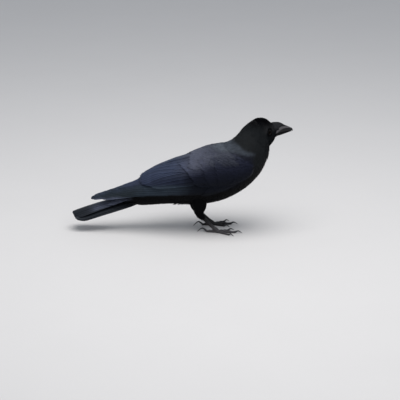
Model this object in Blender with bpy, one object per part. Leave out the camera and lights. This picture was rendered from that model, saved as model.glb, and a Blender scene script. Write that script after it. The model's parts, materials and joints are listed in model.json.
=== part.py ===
"""Large-billed crow standing on level ground with its wings folded and its head turned to its left.

A still, life-size model. Metres and degrees. +X points to the bird's front, +Y to its left and +Z up.
The origin lies on the ground, under the middle of the bird's bounding box.

The trunk, neck and head are one smooth body, parted by thin cuts. The wings, tail, legs, bill and eyes
are solids of their own, each cut back where it meets the body.
"""

import math

import bmesh
import bpy
import numpy as np
from mathutils import Matrix, Vector

# Driving dimensions
GAP = 0.0004  # clearance between neighbouring solids
HEAD_CENTRE = Vector((0.172, 0.008, 0.2168))  # midway between the eyes
HEAD_TURN = 35.0  # to the bird's left
HEAD_DIP = 2.5  # bill below the horizontal
EYE_RADIUS = 0.0066
EYE_PLACE = (-0.0015, 0.0159, -0.0018)  # forward, out and up from the head's centre
HEAD_LAG = 8.0  # how much less the back of the skull is turned than the face
SPLAY = 0.08  # how much nearer the middle plane a leg lies for each metre of height
TOE_FLAT = 0.0005  # how far a toe's round underside is pressed flat against the ground

# How finely the solids are faceted
BODY_SIDES = 26
TRUNK_RINGS, NECK_RINGS, HEAD_RINGS, CUTTER_RINGS = 15, 6, 11, 24
BLADE_SIDES = 6
WING_RINGS, BILL_RINGS, TAIL_RINGS = 1.45, 1.5, 1.7  # rings to each row of the tables below
BILL_ARC, TAIL_SPAN = 11, 7  # points over half a bill and over the tail's middle stack
THIGH_SIDES, SHANK_SIDES, TOE_SIDES, CLAW_SIDES = 14, 10, 8, 6
THIGH_RINGS, SHANK_RINGS, TOE_RINGS, CLAW_RINGS = 9, 9, 7, 7
EYE_SEGMENTS, EYE_RINGS = 12, 8

# Body sections from the rump to the neck. Each is a closed oval in the plane through its top and bottom
# points: top x, top z, bottom x, bottom z, half width, sideways shift, turn to the left.
BODY_SECTIONS = (
    (-0.118, 0.0800, -0.114, 0.0585, 0.0130, 0.000, 0),
    (-0.094, 0.0950, -0.086, 0.0540, 0.0240, 0.000, 0),
    (-0.050, 0.1240, -0.043, 0.0572, 0.0365, 0.000, 0),
    (-0.004, 0.1515, 0.001, 0.0585, 0.0455, 0.000, 0),
    (0.034, 0.1725, 0.044, 0.0578, 0.0510, 0.000, 0),
    (0.068, 0.1835, 0.090, 0.0688, 0.0530, 0.000, 0),
    (0.091, 0.1895, 0.1313, 0.0920, 0.0505, 0.000, 0),
    (0.105, 0.1965, 0.1615, 0.1225, 0.0440, 0.000, 3),
    (0.1178, 0.2075, 0.1752, 0.1500, 0.0370, 0.001, 9),
    (0.1315, 0.2222, 0.1790, 0.1705, 0.0320, 0.003, 18),
)

# Head sections from the back of the skull to the root of the bill, in the head's own axes with the
# eyes at zero: top forward, top up, bottom forward, bottom up, half width.
HEAD_SECTIONS = (
    (-0.0235, 0.0245, 0.0100, -0.0365, 0.0242),
    (-0.0110, 0.0268, 0.0180, -0.0315, 0.0198),
    (0.0010, 0.0243, 0.0225, -0.0265, 0.0166),
    (0.0100, 0.0180, 0.0250, -0.0225, 0.0141),
    (0.0165, 0.0132, 0.0262, -0.0192, 0.0120),
    (0.0215, 0.0105, 0.0268, -0.0165, 0.0100),
)
WIDEST_LEVEL = 0.52  # where a section is widest, from its bottom at 0 to its top at 1
FULLNESS = 2.15  # 2 is an ellipse, and more is squarer

# Where the body is parted, as section numbers counted from the rump
NECK_START = 6.75
HEAD_START = 9.75
SLIT = 0.012  # half the width of a parting, in section numbers

# The two halves of the bill in the head's axes: forward, culmen or keel height, cutting edge height,
# half width.
UPPER_BILL = (
    (0.0160, 0.0117, -0.0100, 0.0115),
    (0.0280, 0.0117, -0.0090, 0.0103),
    (0.0380, 0.0106, -0.0082, 0.0088),
    (0.0480, 0.0078, -0.0080, 0.0071),
    (0.0570, 0.0042, -0.0083, 0.0055),
    (0.0660, 0.0004, -0.0090, 0.0039),
    (0.0720, -0.0028, -0.0097, 0.0026),
    (0.0753, -0.0060, -0.0106, 0.0014),
    (0.0766, -0.0094, -0.0115, 0.0006),
)
LOWER_BILL = (
    (0.0160, -0.0182, -0.0106, 0.0105),
    (0.0280, -0.0178, -0.0096, 0.0093),
    (0.0400, -0.0168, -0.0088, 0.0076),
    (0.0500, -0.0154, -0.0087, 0.0058),
    (0.0600, -0.0138, -0.0091, 0.0040),
    (0.0690, -0.0122, -0.0100, 0.0022),
    (0.0728, -0.0119, -0.0108, 0.0008),
)
BILL_ROUND = 0.8  # how round the bill's back is: 1 is an arch, and less is squarer

# A folded wing, front to tip, as two overlapping panels. Each row is the panel's upper edge x, y, z, its
# lower edge x, y, z, and how far it bulges outwards between them. The first panel is the arm with its
# coverts, secondaries and tertials, and the second the hand with its long primaries.
ARM_PANEL = (
    (0.1560, 0.0330, 0.1530, 0.1545, 0.0350, 0.1440, 0.0025),
    (0.1460, 0.0350, 0.1640, 0.1430, 0.0455, 0.1310, 0.0065),
    (0.1220, 0.0370, 0.1740, 0.1180, 0.0525, 0.1180, 0.0100),
    (0.0880, 0.0350, 0.1795, 0.0860, 0.0565, 0.1125, 0.0120),
    (0.0500, 0.0320, 0.1745, 0.0480, 0.0575, 0.1135, 0.0115),
    (0.0100, 0.0230, 0.1580, 0.0040, 0.0545, 0.1115, 0.0110),
    (-0.0220, 0.0120, 0.1500, -0.0350, 0.0470, 0.1070, 0.0095),
    (-0.0550, 0.0040, 0.1390, -0.0650, 0.0385, 0.1040, 0.0075),
    (-0.0800, 0.0018, 0.1252, -0.0830, 0.0290, 0.1030, 0.0050),
    (-0.0970, 0.0025, 0.1145, -0.0970, 0.0155, 0.1040, 0.0022),
    (-0.1050, 0.0045, 0.1085, -0.1050, 0.0090, 0.1052, 0.0006),
)
HAND_PANEL = (
    (0.1180, 0.0480, 0.1205, 0.1160, 0.0485, 0.1135, 0.0015),
    (0.0880, 0.0510, 0.1220, 0.0840, 0.0500, 0.0990, 0.0030),
    (0.0500, 0.0510, 0.1210, 0.0470, 0.0490, 0.0885, 0.0045),
    (0.0050, 0.0460, 0.1200, 0.0040, 0.0460, 0.0860, 0.0045),
    (-0.0400, 0.0370, 0.1150, -0.0400, 0.0410, 0.0847, 0.0045),
    (-0.0820, 0.0160, 0.1095, -0.0820, 0.0340, 0.0820, 0.0045),
    (-0.1070, 0.0080, 0.1020, -0.1070, 0.0295, 0.0785, 0.0040),
    (-0.1450, 0.0050, 0.0890, -0.1450, 0.0240, 0.0725, 0.0030),
    (-0.1760, 0.0055, 0.0815, -0.1760, 0.0190, 0.0685, 0.0020),
    (-0.1950, 0.0090, 0.0745, -0.1950, 0.0140, 0.0670, 0.0006),
)
ARM_DEPTH = 0.0170  # how deep a panel reaches into the body before it is cut back
HAND_DEPTH = 0.0110
PANEL_THIN = 0.0016  # thickness of the quills behind the body
BODY_BEHIND = -0.040  # behind this x a panel has thinned to quills
THINNING = 0.055  # length over which it thins
PANEL_ROUND = 0.75  # how squarely a panel bulges between its edges
LEFT_WING_SHORT = 0.007  # the left wing tip lies this much short of the right one
SHORT_OVER = 0.15  # length behind the body's middle over which the left wing draws in

# The closed tail: a middle stack of quills, each row its crest x, z, half width, thickness and how far
# its edges hang, over two side stacks that stand out below it, written like the wing panels.
TAIL_MIDDLE = (
    (-0.0900, 0.0800, 0.0140, 0.0060, 0.0060),
    (-0.1300, 0.0705, 0.0178, 0.0048, 0.0090),
    (-0.1700, 0.0600, 0.0207, 0.0038, 0.0115),
    (-0.2050, 0.0487, 0.0225, 0.0028, 0.0125),
    (-0.2230, 0.0424, 0.0210, 0.0022, 0.0125),
    (-0.2305, 0.0399, 0.0160, 0.0017, 0.0105),
    (-0.2335, 0.0388, 0.0075, 0.0013, 0.0050),
)
TAIL_SIDE = (
    (-0.0900, 0.0030, 0.0700, -0.0900, 0.0130, 0.0590, 0.0010),
    (-0.1150, 0.0050, 0.0640, -0.1150, 0.0160, 0.0513, 0.0012),
    (-0.1450, 0.0080, 0.0560, -0.1450, 0.0195, 0.0424, 0.0014),
    (-0.1750, 0.0110, 0.0470, -0.1750, 0.0225, 0.0338, 0.0014),
    (-0.2000, 0.0145, 0.0380, -0.2000, 0.0240, 0.0258, 0.0012),
    (-0.2130, 0.0170, 0.0325, -0.2130, 0.0238, 0.0240, 0.0008),
    (-0.2205, 0.0195, 0.0280, -0.2205, 0.0222, 0.0243, 0.0003),
)
TAIL_EDGE_THIN = 0.6  # how much thinner the middle stack is at its edges than at its crest

# A leg on its foot at zero, in the leg's own upright plane: forward, up, radius. The feathered thigh
# hides the hock, and the shank below it is bare and ends in the ball of the foot.
THIGH = (
    (-0.0375, 0.0850, 0.0210),
    (-0.0380, 0.0690, 0.0185),
    (-0.0370, 0.0560, 0.0145),
    (-0.0372, 0.0450, 0.0108),
    (-0.0347, 0.0375, 0.0080),
    (-0.0305, 0.0325, 0.0060),
)
SHANK = (
    (-0.0395, 0.0425, 0.0045),
    (-0.0330, 0.0360, 0.0042),
    (-0.0220, 0.0250, 0.0037),
    (-0.0085, 0.0120, 0.0038),
    (-0.0016, 0.0058, 0.0047),
    (0.0006, 0.0030, 0.0050),
    (0.0012, 0.0003, 0.0040),
)
# Foot x, foot y and turn of the foot
LEGS = {"right": (0.0725, -0.0280, -8.0), "left": (0.0640, 0.0245, 8.0)}

# Toes: heading from straight ahead, length without the claw, root radius, claw length, and the height of
# the claw's arch as a share of its length
TOES = {
    "middle": (3.0, 0.0375, 0.0035, 0.0145, 0.20),
    "inner": (33.0, 0.0258, 0.0031, 0.0125, 0.20),
    "outer": (-29.0, 0.0305, 0.0031, 0.0120, 0.20),
    "hind": (180.0, 0.0205, 0.0036, 0.0200, 0.32),
}
TOE_START = 0.0020  # from the middle of the foot to a toe's first ring
TOE_TAPER = 0.34  # how much thinner a toe is at its claw than at its root
KNUCKLES, KNUCKLE_SWELL = 3, 0.09  # joints along a toe, and how far they swell
CLAW_ROOT = 0.85  # a claw's root radius as a share of its toe's end
CLAW_TIP = 0.0005  # radius of a claw's tip

BLACK_PLUMAGE = ((0.012, 0.013, 0.019), 0.45, 0.0)
HORN = ((0.016, 0.016, 0.018), 0.35, 0.0)
DARK_IRIS = ((0.010, 0.006, 0.004), 0.08, 0.0)
LEG_SCALES = ((0.035, 0.036, 0.040), 0.50, 0.0)


# Shared tools


def flow(values, at):
    """A smooth curve through rows of values, read at row numbers: cubic spans with central slopes."""
    values = np.asarray(values, float)
    at = np.asarray(at, float)
    slopes = np.gradient(values, axis=0)
    low = np.clip(np.floor(at).astype(int), 0, len(values) - 2)
    part = (at - low)[:, None]
    rise = values[low + 1] - values[low]
    start, end = slopes[low], slopes[low + 1]
    return (
        values[low]
        + part * start
        + part**2 * (3 * rise - 2 * start - end)
        + part**3 * (start + end - 2 * rise)
    )


def oval(sides):
    """Across and up shares of one closed superellipse, counter-clockwise from its right."""
    angle = np.arange(sides) * 2 * math.pi / sides
    power = 2 / FULLNESS
    across = np.sign(np.cos(angle)) * np.abs(np.cos(angle)) ** power
    up = np.sign(np.sin(angle)) * np.abs(np.sin(angle)) ** power
    return across, up


def finish_of(name, look):
    """The named material, made once: colour, roughness and metallic value."""
    material = bpy.data.materials.get(name)
    if material is None:
        colour, roughness, metallic = look
        material = bpy.data.materials.new(name)
        material.use_nodes = True
        shader = material.node_tree.nodes["Principled BSDF"]
        shader.inputs["Base Color"].default_value = (*colour, 1)
        shader.inputs["Roughness"].default_value = roughness
        shader.inputs["Metallic"].default_value = metallic
    return material


def add_object(name, form, material, parent=None):
    """Puts a finished bmesh into the scene as one object."""
    bmesh.ops.recalc_face_normals(form, faces=form.faces)
    mesh = bpy.data.meshes.new(name)
    form.to_mesh(mesh)
    form.free()
    mesh.shade_smooth()
    mesh.set_sharp_from_angle(angle=math.radians(50))
    mesh.materials.append(material)
    placed = bpy.data.objects.new(name, mesh)
    placed.parent = parent
    bpy.context.scene.collection.objects.link(placed)
    return placed


def loft(rings):
    """A closed skin over rings with equal numbers of points, with both ends filled."""
    form = bmesh.new()
    loops = [[form.verts.new(point) for point in ring] for ring in rings]
    for near, far in zip(loops, loops[1:]):
        for a, b, c, d in zip(near, near[1:] + near[:1], far[1:] + far[:1], far):
            form.faces.new((a, b, c, d))
    form.faces.new(loops[0])
    form.faces.new(loops[-1])
    bmesh.ops.triangulate(form, faces=form.faces)
    return form


def cut_back(solid, *cutters):
    """Takes hidden cutters, each a neighbour grown by the gap, out of a solid."""
    for cutter in cutters:
        cutter.hide_render = True
        cutter.display_type = "WIRE"
        change = solid.modifiers.new("cut by " + cutter.name, "BOOLEAN")
        change.operation = "DIFFERENCE"
        change.solver = "EXACT"
        change.object = cutter


# Body


def head_matrix():
    """Places the head's axes, forward, left and up, at the head's centre."""
    turn = Matrix.Rotation(math.radians(HEAD_TURN), 4, "Z")
    dip = Matrix.Rotation(math.radians(HEAD_DIP), 4, "Y")
    return Matrix.Translation(HEAD_CENTRE) @ turn @ dip


def body_table():
    """Every section of the body in world places: top and bottom points, half width and turn."""
    rows = []
    for top_x, top_z, low_x, low_z, width, shift, turn in BODY_SECTIONS:
        rows.append((top_x, shift, top_z, low_x, shift, low_z, width, turn))
    place = head_matrix()
    for number, (top_on, top_up, low_on, low_up, width) in enumerate(HEAD_SECTIONS):
        top = place @ Vector((top_on, 0, top_up))
        low = place @ Vector((low_on, 0, low_up))
        turn = HEAD_TURN - (HEAD_LAG if number == 0 else 0.0)
        rows.append((*top, *low, width, turn))
    return np.array(rows)


def body_rings(numbers, grow=0.0):
    """Rings of the body at these section numbers, each grown by a distance in its own plane."""
    rows = flow(body_table(), numbers)
    across, up = oval(BODY_SIDES)
    rings = []
    for row in rows:
        top, low, width, turn = row[0:3], row[3:6], row[6] + grow, math.radians(row[7])
        rise = (top - low) / np.linalg.norm(top - low)
        top, low = top + grow * rise, low - grow * rise
        waist = low + WIDEST_LEVEL * (top - low)
        aside = np.array((-math.sin(turn), math.cos(turn), 0.0))
        reach = np.where(up[:, None] > 0, top - waist, waist - low)
        rings.append(waist + up[:, None] * reach + np.outer(across * width, aside))
    return rings


def body_piece(name, first, last, count, grow=0.0):
    """One stretch of the body between two section numbers."""
    form = loft(body_rings(np.linspace(first, last, count), grow))
    return add_object(name, form, finish_of("black_plumage", BLACK_PLUMAGE))


def build_body():
    """Trunk, neck and head, parted by thin cuts. Returns the head."""
    last = len(BODY_SECTIONS) + len(HEAD_SECTIONS) - 1
    body_piece("trunk", 0, NECK_START - SLIT, TRUNK_RINGS)
    body_piece("neck", NECK_START + SLIT, HEAD_START - SLIT, NECK_RINGS)
    return body_piece("head", HEAD_START + SLIT, last, HEAD_RINGS)


# Bill and eyes


def bill_half(name, rows, grow=0.0):
    """Half a bill: a round-backed keel on a flat cutting edge, tapering to the tip."""
    steps = np.linspace(0, len(rows) - 1, int(BILL_RINGS * len(rows)))
    place = head_matrix()
    arc = np.linspace(0, math.pi, BILL_ARC)
    rings = []
    for forward, back, edge, width in flow(rows, steps):
        side = np.cos(arc) * (width + grow)
        away = np.sign(back - edge)
        height = edge - away * grow + (back - edge + 2 * away * grow) * np.sin(arc) ** BILL_ROUND
        reach = forward + (grow if forward == rows[-1][0] else 0.0)
        rings.append([place @ Vector((reach, y, z)) for y, z in zip(side, height)])
    return add_object(name, loft(rings), finish_of("bill_horn", HORN))


def eye_ball(name, side, radius):
    """One round eye set into the side of the head."""
    form = bmesh.new()
    forward, out, up = EYE_PLACE
    seat = head_matrix() @ Matrix.Translation((forward, side * out, up))
    bmesh.ops.create_uvsphere(
        form, u_segments=EYE_SEGMENTS, v_segments=EYE_RINGS, radius=radius, matrix=seat
    )
    return add_object(name, form, finish_of("dark_iris", DARK_IRIS))


def build_face(head):
    """The bill's two halves and the eyes, let into the head."""
    cutters = []
    for name, rows in (("bill_upper", UPPER_BILL), ("bill_lower", LOWER_BILL)):
        bill_half(name, rows)
        cutters.append(bill_half(name + "_seat", rows, GAP))
    for name, side in (("left", 1), ("right", -1)):
        eye_ball("eye_" + name, side, EYE_RADIUS)
        cutters.append(eye_ball("eye_socket_" + name, side, EYE_RADIUS + GAP))
    cut_back(head, *cutters)


# Wings


def panel(name, rows, side, deep, grow=0.0, short=0.0):
    """One wing panel: crescents from its upper to its lower edge, deep where they rest on the body.
    Its hind end may be drawn in, so that it lies short of the other wing's."""
    steps = np.linspace(0, len(rows) - 1, int(WING_RINGS * len(rows)))
    spread = np.linspace(0, 1, BLADE_SIDES + 2)
    crown = (4 * spread * (1 - spread)) ** PANEL_ROUND
    rings = []
    for row in flow(rows, steps):
        high, low, bulge = row[0:3], row[3:6], row[6]
        chord = low - high
        length = np.linalg.norm(chord)
        out = np.array((0.0, -chord[2], chord[1])) / math.hypot(chord[1], chord[2])
        solid = np.clip((row[0] - BODY_BEHIND) / THINNING, 0, 1)
        depth = min(PANEL_THIN + (deep - PANEL_THIN) * solid, PANEL_THIN / 2 + length)
        along = chord / length
        reach = (spread[:, None] - 0.5) * (length + 2 * grow)
        outer = (high + low) / 2 + reach * along + np.outer(crown * bulge + grow, out)
        inner = outer - (depth + 2 * grow) * out
        ring = np.vstack((outer, inner[::-1]))
        ring[:, 1] *= side
        ring[:, 0] += short * np.clip(-row[0] / SHORT_OVER, 0, 1)
        rings.append(ring)
    if grow:
        rings[-1] = rings[-1] - np.array((grow, 0, 0))
    return add_object(name, loft(rings), finish_of("black_plumage", BLACK_PLUMAGE))


def build_wings(body_cutter):
    """Both folded wings, each an arm panel over a hand panel."""
    for name, side, short in (("left", 1, LEFT_WING_SHORT), ("right", -1, 0.0)):
        arm = panel("wing_arm_" + name, ARM_PANEL, side, ARM_DEPTH, 0.0, short)
        arm_cutter = panel("wing_arm_seat_" + name, ARM_PANEL, side, ARM_DEPTH, GAP, short)
        hand = panel("wing_hand_" + name, HAND_PANEL, side, HAND_DEPTH, 0.0, short)
        cut_back(arm, body_cutter)
        cut_back(hand, arm_cutter, body_cutter)


# Tail


def quill_stack(name, rows, grow=0.0):
    """The middle stack: arched lens sections along a sloping line, rounded off at the tip."""
    steps = np.linspace(0, len(rows) - 1, int(TAIL_RINGS * len(rows)))
    spread = np.linspace(-1, 1, TAIL_SPAN)
    rings = []
    for x, z, width, thick, droop in flow(rows, steps):
        y = spread * (width + grow)
        crest = z - droop * spread**2
        half = (thick / 2) * (1 - TAIL_EDGE_THIN * spread**2) + grow
        upper = np.stack((np.full_like(y, x), y, crest + half), 1)
        lower = np.stack((np.full_like(y, x), y, crest - half), 1)
        rings.append(np.vstack((upper, lower[::-1])))
    return add_object(name, loft(rings), finish_of("black_plumage", BLACK_PLUMAGE))


def build_tail(body_cutter):
    """The middle stack and the two side stacks, cut back at the tail's root."""
    middle = quill_stack("tail_middle", TAIL_MIDDLE)
    middle_cutter = quill_stack("tail_seat", TAIL_MIDDLE, GAP)
    cut_back(middle, body_cutter)
    for name, side in (("left", 1), ("right", -1)):
        stack = panel("tail_side_" + name, TAIL_SIDE, side, PANEL_THIN)
        cut_back(stack, middle_cutter, body_cutter)


# Legs


def tube(path, radii, sides, floor, upright=False):
    """A round limb along a path, its rings square to it, pressed flat on the floor. The first ring may
    stand upright instead."""
    ways = np.gradient(path, axis=0)
    if upright:
        ways[0, 2] = 0
    aside = np.cross((0.0, 0.0, 1.0), path[-1] - path[0])
    aside = aside / np.linalg.norm(aside)
    angle = (np.arange(sides) + 0.5) * 2 * math.pi / sides
    rings = []
    for point, way, radius in zip(path, ways, radii):
        up = np.cross(way / np.linalg.norm(way), aside)
        ring = point + radius * (np.outer(np.cos(angle), aside) + np.outer(np.sin(angle), up))
        ring[:, 2] = np.maximum(ring[:, 2], floor)
        rings.append(ring)
    return rings


def limb(name, rows, foot, look, sides, count, grow=0.0):
    """A thigh or shank: rows of forward, up and radius, read smoothly, standing on a foot."""
    read = flow(rows, np.linspace(0, len(rows) - 1, count))
    inward = -math.copysign(SPLAY, foot[1]) * read[:, 1]
    path = np.stack((foot[0] + read[:, 0], foot[1] + inward, read[:, 1]), 1)
    rings = tube(path, read[:, 2] + grow, sides, -grow)
    return add_object(name, loft(rings), finish_of(*look))


def build_toe(name, foot, heading, length, root, grow=0.0):
    """One toe with swollen joints, flat underneath. Returns it with its end point, way and end radius."""
    way = np.array((math.cos(heading), math.sin(heading), 0.0))
    share = np.linspace(0, 1, TOE_RINGS)
    path = np.array((*foot, 0.0)) + np.outer(TOE_START + length * share, way)
    swell = 1 + KNUCKLE_SWELL * np.cos(share * KNUCKLES * 2 * math.pi)
    radii = root * (1 - TOE_TAPER * share) * swell
    path[:, 2] = radii - TOE_FLAT
    form = loft(tube(path, radii + grow, TOE_SIDES, -grow))
    return add_object(name, form, finish_of("leg_scales", LEG_SCALES)), path[-1], way, radii[-1]


def build_claw(name, start, way, radius, length, rise):
    """A hooked claw that leaves its toe level, arches and comes down to the ground."""
    bend = np.linspace(0, 1, CLAW_RINGS)
    hook = start + np.outer(GAP + length * bend, way)
    arch = rise * length * np.sin(math.pi * bend**0.9) ** 1.5
    hook[:, 2] = start[2] * (1 - bend**2) + CLAW_TIP * bend**2 + arch
    thick = CLAW_TIP + (radius * CLAW_ROOT - CLAW_TIP) * (1 - bend) ** 0.8
    form = loft(tube(hook, thick, CLAW_SIDES, 0.0, upright=True))
    add_object(name, form, finish_of("bill_horn", HORN))


def build_legs(body_cutter):
    """Feathered thighs, bare shanks and four clawed toes a foot."""
    plumage = ("black_plumage", BLACK_PLUMAGE)
    scales = ("leg_scales", LEG_SCALES)
    for name, (foot_x, foot_y, turn) in LEGS.items():
        foot, side = (foot_x, foot_y), math.copysign(1, foot_y)
        shape = (THIGH, foot, plumage, THIGH_SIDES, THIGH_RINGS)
        thigh = limb("thigh_" + name, *shape)
        thigh_cutter = limb("thigh_seat_" + name, *shape, GAP)
        cut_back(thigh, body_cutter)
        shape = (SHANK, foot, scales, SHANK_SIDES, SHANK_RINGS)
        shank = limb("shank_" + name, *shape)
        shank_cutter = limb("shank_seat_" + name, *shape, GAP)
        cut_back(shank, thigh_cutter, body_cutter)
        cutters = [shank_cutter]
        for toe, (heading, length, root, claw, rise) in TOES.items():
            bearing = math.radians(turn - side * heading)
            named = f"toe_{toe}_{name}"
            solid, end, way, radius = build_toe(named, foot, bearing, length, root)
            build_claw(f"claw_{toe}_{name}", end, way, radius, claw, rise)
            cut_back(solid, *cutters)
            if toe == "middle":
                cutters.append(build_toe("toe_seat_" + name, foot, bearing, length, root, GAP)[0])


def main():
    for old in list(bpy.data.objects):
        bpy.data.objects.remove(old)
    build_face(build_body())
    body_cutter = body_piece("body_cutter", 0, HEAD_START, CUTTER_RINGS, GAP)
    build_wings(body_cutter)
    build_tail(body_cutter)
    build_legs(body_cutter)


main()
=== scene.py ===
"""A large-billed crow standing with its wings folded and its head turned to its left.

Metres. +X is the bird's front, +Y its left and +Z up, and the ground is z = 0.
"""

import json
import math

import bpy
import numpy as np
from mathutils import Matrix, Vector

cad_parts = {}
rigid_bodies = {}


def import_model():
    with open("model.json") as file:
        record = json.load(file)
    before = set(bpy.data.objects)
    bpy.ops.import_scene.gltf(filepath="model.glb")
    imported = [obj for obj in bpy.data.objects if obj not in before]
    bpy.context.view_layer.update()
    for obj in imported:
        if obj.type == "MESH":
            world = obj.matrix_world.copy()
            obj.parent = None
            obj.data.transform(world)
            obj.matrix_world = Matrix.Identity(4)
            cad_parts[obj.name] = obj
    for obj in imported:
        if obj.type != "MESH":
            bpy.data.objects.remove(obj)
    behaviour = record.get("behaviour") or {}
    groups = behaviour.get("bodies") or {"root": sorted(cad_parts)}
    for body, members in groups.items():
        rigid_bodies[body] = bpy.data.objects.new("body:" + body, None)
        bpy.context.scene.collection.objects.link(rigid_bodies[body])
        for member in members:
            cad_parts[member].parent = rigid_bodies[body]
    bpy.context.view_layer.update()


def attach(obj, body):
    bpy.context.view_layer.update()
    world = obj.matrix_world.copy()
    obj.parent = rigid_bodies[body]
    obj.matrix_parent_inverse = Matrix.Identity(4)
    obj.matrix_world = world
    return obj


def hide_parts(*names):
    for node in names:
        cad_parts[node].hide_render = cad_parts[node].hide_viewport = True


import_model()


# The skin. It is the bird's flesh in one closed sheet: trunk, neck, head, upper wings and thighs. It is dark
# and is hidden almost everywhere, because the plumage grows from it and stands one coat's depth higher.

HEAD_CENTRE = np.array((0.172, 0.008, 0.2168))  # midway between the eyes
HEAD_TURN, HEAD_LAG, HEAD_DIP = 35.0, 8.0, 2.5  # degrees
HEAD_AXES = np.array(
    Matrix.Rotation(math.radians(HEAD_TURN), 3, "Z") @ Matrix.Rotation(math.radians(HEAD_DIP), 3, "Y")
)
WIDEST_LEVEL, FULLNESS = 0.52, 2.15
BODY_SECTIONS = (  # top x, top z, bottom x, bottom z, half width, sideways shift, turn
    (-0.118, 0.0800, -0.114, 0.0585, 0.0130, 0.000, 0),
    (-0.094, 0.0950, -0.086, 0.0540, 0.0240, 0.000, 0),
    (-0.050, 0.1240, -0.043, 0.0572, 0.0365, 0.000, 0),
    (-0.004, 0.1515, 0.001, 0.0585, 0.0455, 0.000, 0),
    (0.034, 0.1725, 0.044, 0.0578, 0.0510, 0.000, 0),
    (0.068, 0.1835, 0.090, 0.0688, 0.0530, 0.000, 0),
    (0.091, 0.1895, 0.1313, 0.0920, 0.0505, 0.000, 0),
    (0.105, 0.1965, 0.1615, 0.1225, 0.0440, 0.000, 3),
    (0.1178, 0.2075, 0.1752, 0.1500, 0.0370, 0.001, 9),
    (0.1315, 0.2222, 0.1790, 0.1705, 0.0320, 0.003, 18),
)
HEAD_SECTIONS = (  # in the head's axes: top forward, top up, bottom forward, bottom up, half width
    (-0.0235, 0.0245, 0.0100, -0.0365, 0.0242),
    (-0.0110, 0.0268, 0.0180, -0.0315, 0.0198),
    (0.0010, 0.0243, 0.0225, -0.0265, 0.0166),
    (0.0100, 0.0180, 0.0250, -0.0225, 0.0141),
    (0.0165, 0.0132, 0.0262, -0.0192, 0.0120),
    (0.0215, 0.0105, 0.0268, -0.0165, 0.0100),
)
LAST_SECTION = len(BODY_SECTIONS) + len(HEAD_SECTIONS) - 1
NECK_START, HEAD_START = 6.75, 9.75  # section numbers


def length(vectors):
    """Length of each vector, kept as a last axis of one."""
    return np.sqrt((vectors * vectors).sum(-1, keepdims=True))


def flow(values, at):
    """A smooth curve through rows of values: cubic spans with central slopes, straight on past both ends."""
    values = np.asarray(values, float)
    at = np.asarray(at, float)
    slopes = np.gradient(values, axis=0)
    kept = np.clip(at, 0, len(values) - 1)
    low = np.clip(np.floor(kept).astype(int), 0, len(values) - 2)
    part = (kept - low)[..., None]
    rise = values[low + 1] - values[low]
    start, end = slopes[low], slopes[low + 1]
    past = (at - kept)[..., None] * np.where(at[..., None] < 0, slopes[0], slopes[-1])
    return (
        values[low]
        + part * start
        + part**2 * (3 * rise - 2 * start - end)
        + part**3 * (start + end - 2 * rise)
        + past
    )


def on_head(points):
    """Moves points from the head's axes, forward, left and up, to their place."""
    return HEAD_CENTRE + np.asarray(points, float) @ HEAD_AXES.T


def body_table():
    """Every section in place: top point, bottom point, half width, turn."""
    rows = [(tx, shift, tz, lx, shift, lz, wide, turn) for tx, tz, lx, lz, wide, shift, turn in BODY_SECTIONS]
    for number, (top_on, top_up, low_on, low_up, wide) in enumerate(HEAD_SECTIONS):
        top, low = on_head(((top_on, 0, top_up), (low_on, 0, low_up)))
        rows.append((*top, *low, wide, HEAD_TURN - (HEAD_LAG if number == 0 else 0)))
    return np.array(rows)


BODY = body_table()


def body(section, angle, grow=0.0):
    """The outer form: superellipses between top and bottom points, each wave w across or up taken as
    sign(w) |w|^(2 / fullness). Angle 0 is the left side and a right angle is the back."""
    section, angle = np.broadcast_arrays(np.asarray(section, float), np.asarray(angle, float))
    rows = flow(BODY, section)
    grow = np.broadcast_to(grow, section.shape)[..., None]
    top, low, wide, turn = rows[..., 0:3], rows[..., 3:6], rows[..., 6:7] + grow, np.radians(rows[..., 7:8])
    rise = (top - low) / length(top - low)
    top, low = top + grow * rise, low - grow * rise
    waist = low + WIDEST_LEVEL * (top - low)
    aside = np.concatenate((-np.sin(turn), np.cos(turn), 0 * turn), -1)
    across, up = (
        (np.sign(wave) * np.abs(wave) ** (2 / FULLNESS))[..., None] for wave in (np.cos(angle), np.sin(angle))
    )
    return waist + up * np.where(up > 0, top - waist, waist - low) + across * np.maximum(wide, 0.0005) * aside


ARM_PANEL = np.array((  # a folded wing's arm, front to tip: upper edge x, y, z, lower edge x, y, z, bulge
    (0.1560, 0.0330, 0.1530, 0.1545, 0.0350, 0.1440, 0.0025),
    (0.1460, 0.0350, 0.1640, 0.1430, 0.0455, 0.1310, 0.0065),
    (0.1220, 0.0370, 0.1740, 0.1180, 0.0525, 0.1180, 0.0100),
    (0.0880, 0.0350, 0.1795, 0.0860, 0.0565, 0.1125, 0.0120),
    (0.0500, 0.0320, 0.1745, 0.0480, 0.0575, 0.1135, 0.0115),
    (0.0100, 0.0230, 0.1580, 0.0040, 0.0545, 0.1115, 0.0110),
    (-0.0220, 0.0120, 0.1500, -0.0350, 0.0470, 0.1070, 0.0095),
    (-0.0550, 0.0040, 0.1390, -0.0650, 0.0385, 0.1040, 0.0075),
    (-0.0800, 0.0018, 0.1252, -0.0830, 0.0290, 0.1030, 0.0050),
    (-0.0970, 0.0025, 0.1145, -0.0970, 0.0155, 0.1040, 0.0022),
    (-0.1050, 0.0045, 0.1085, -0.1050, 0.0090, 0.1052, 0.0006),
))
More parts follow.
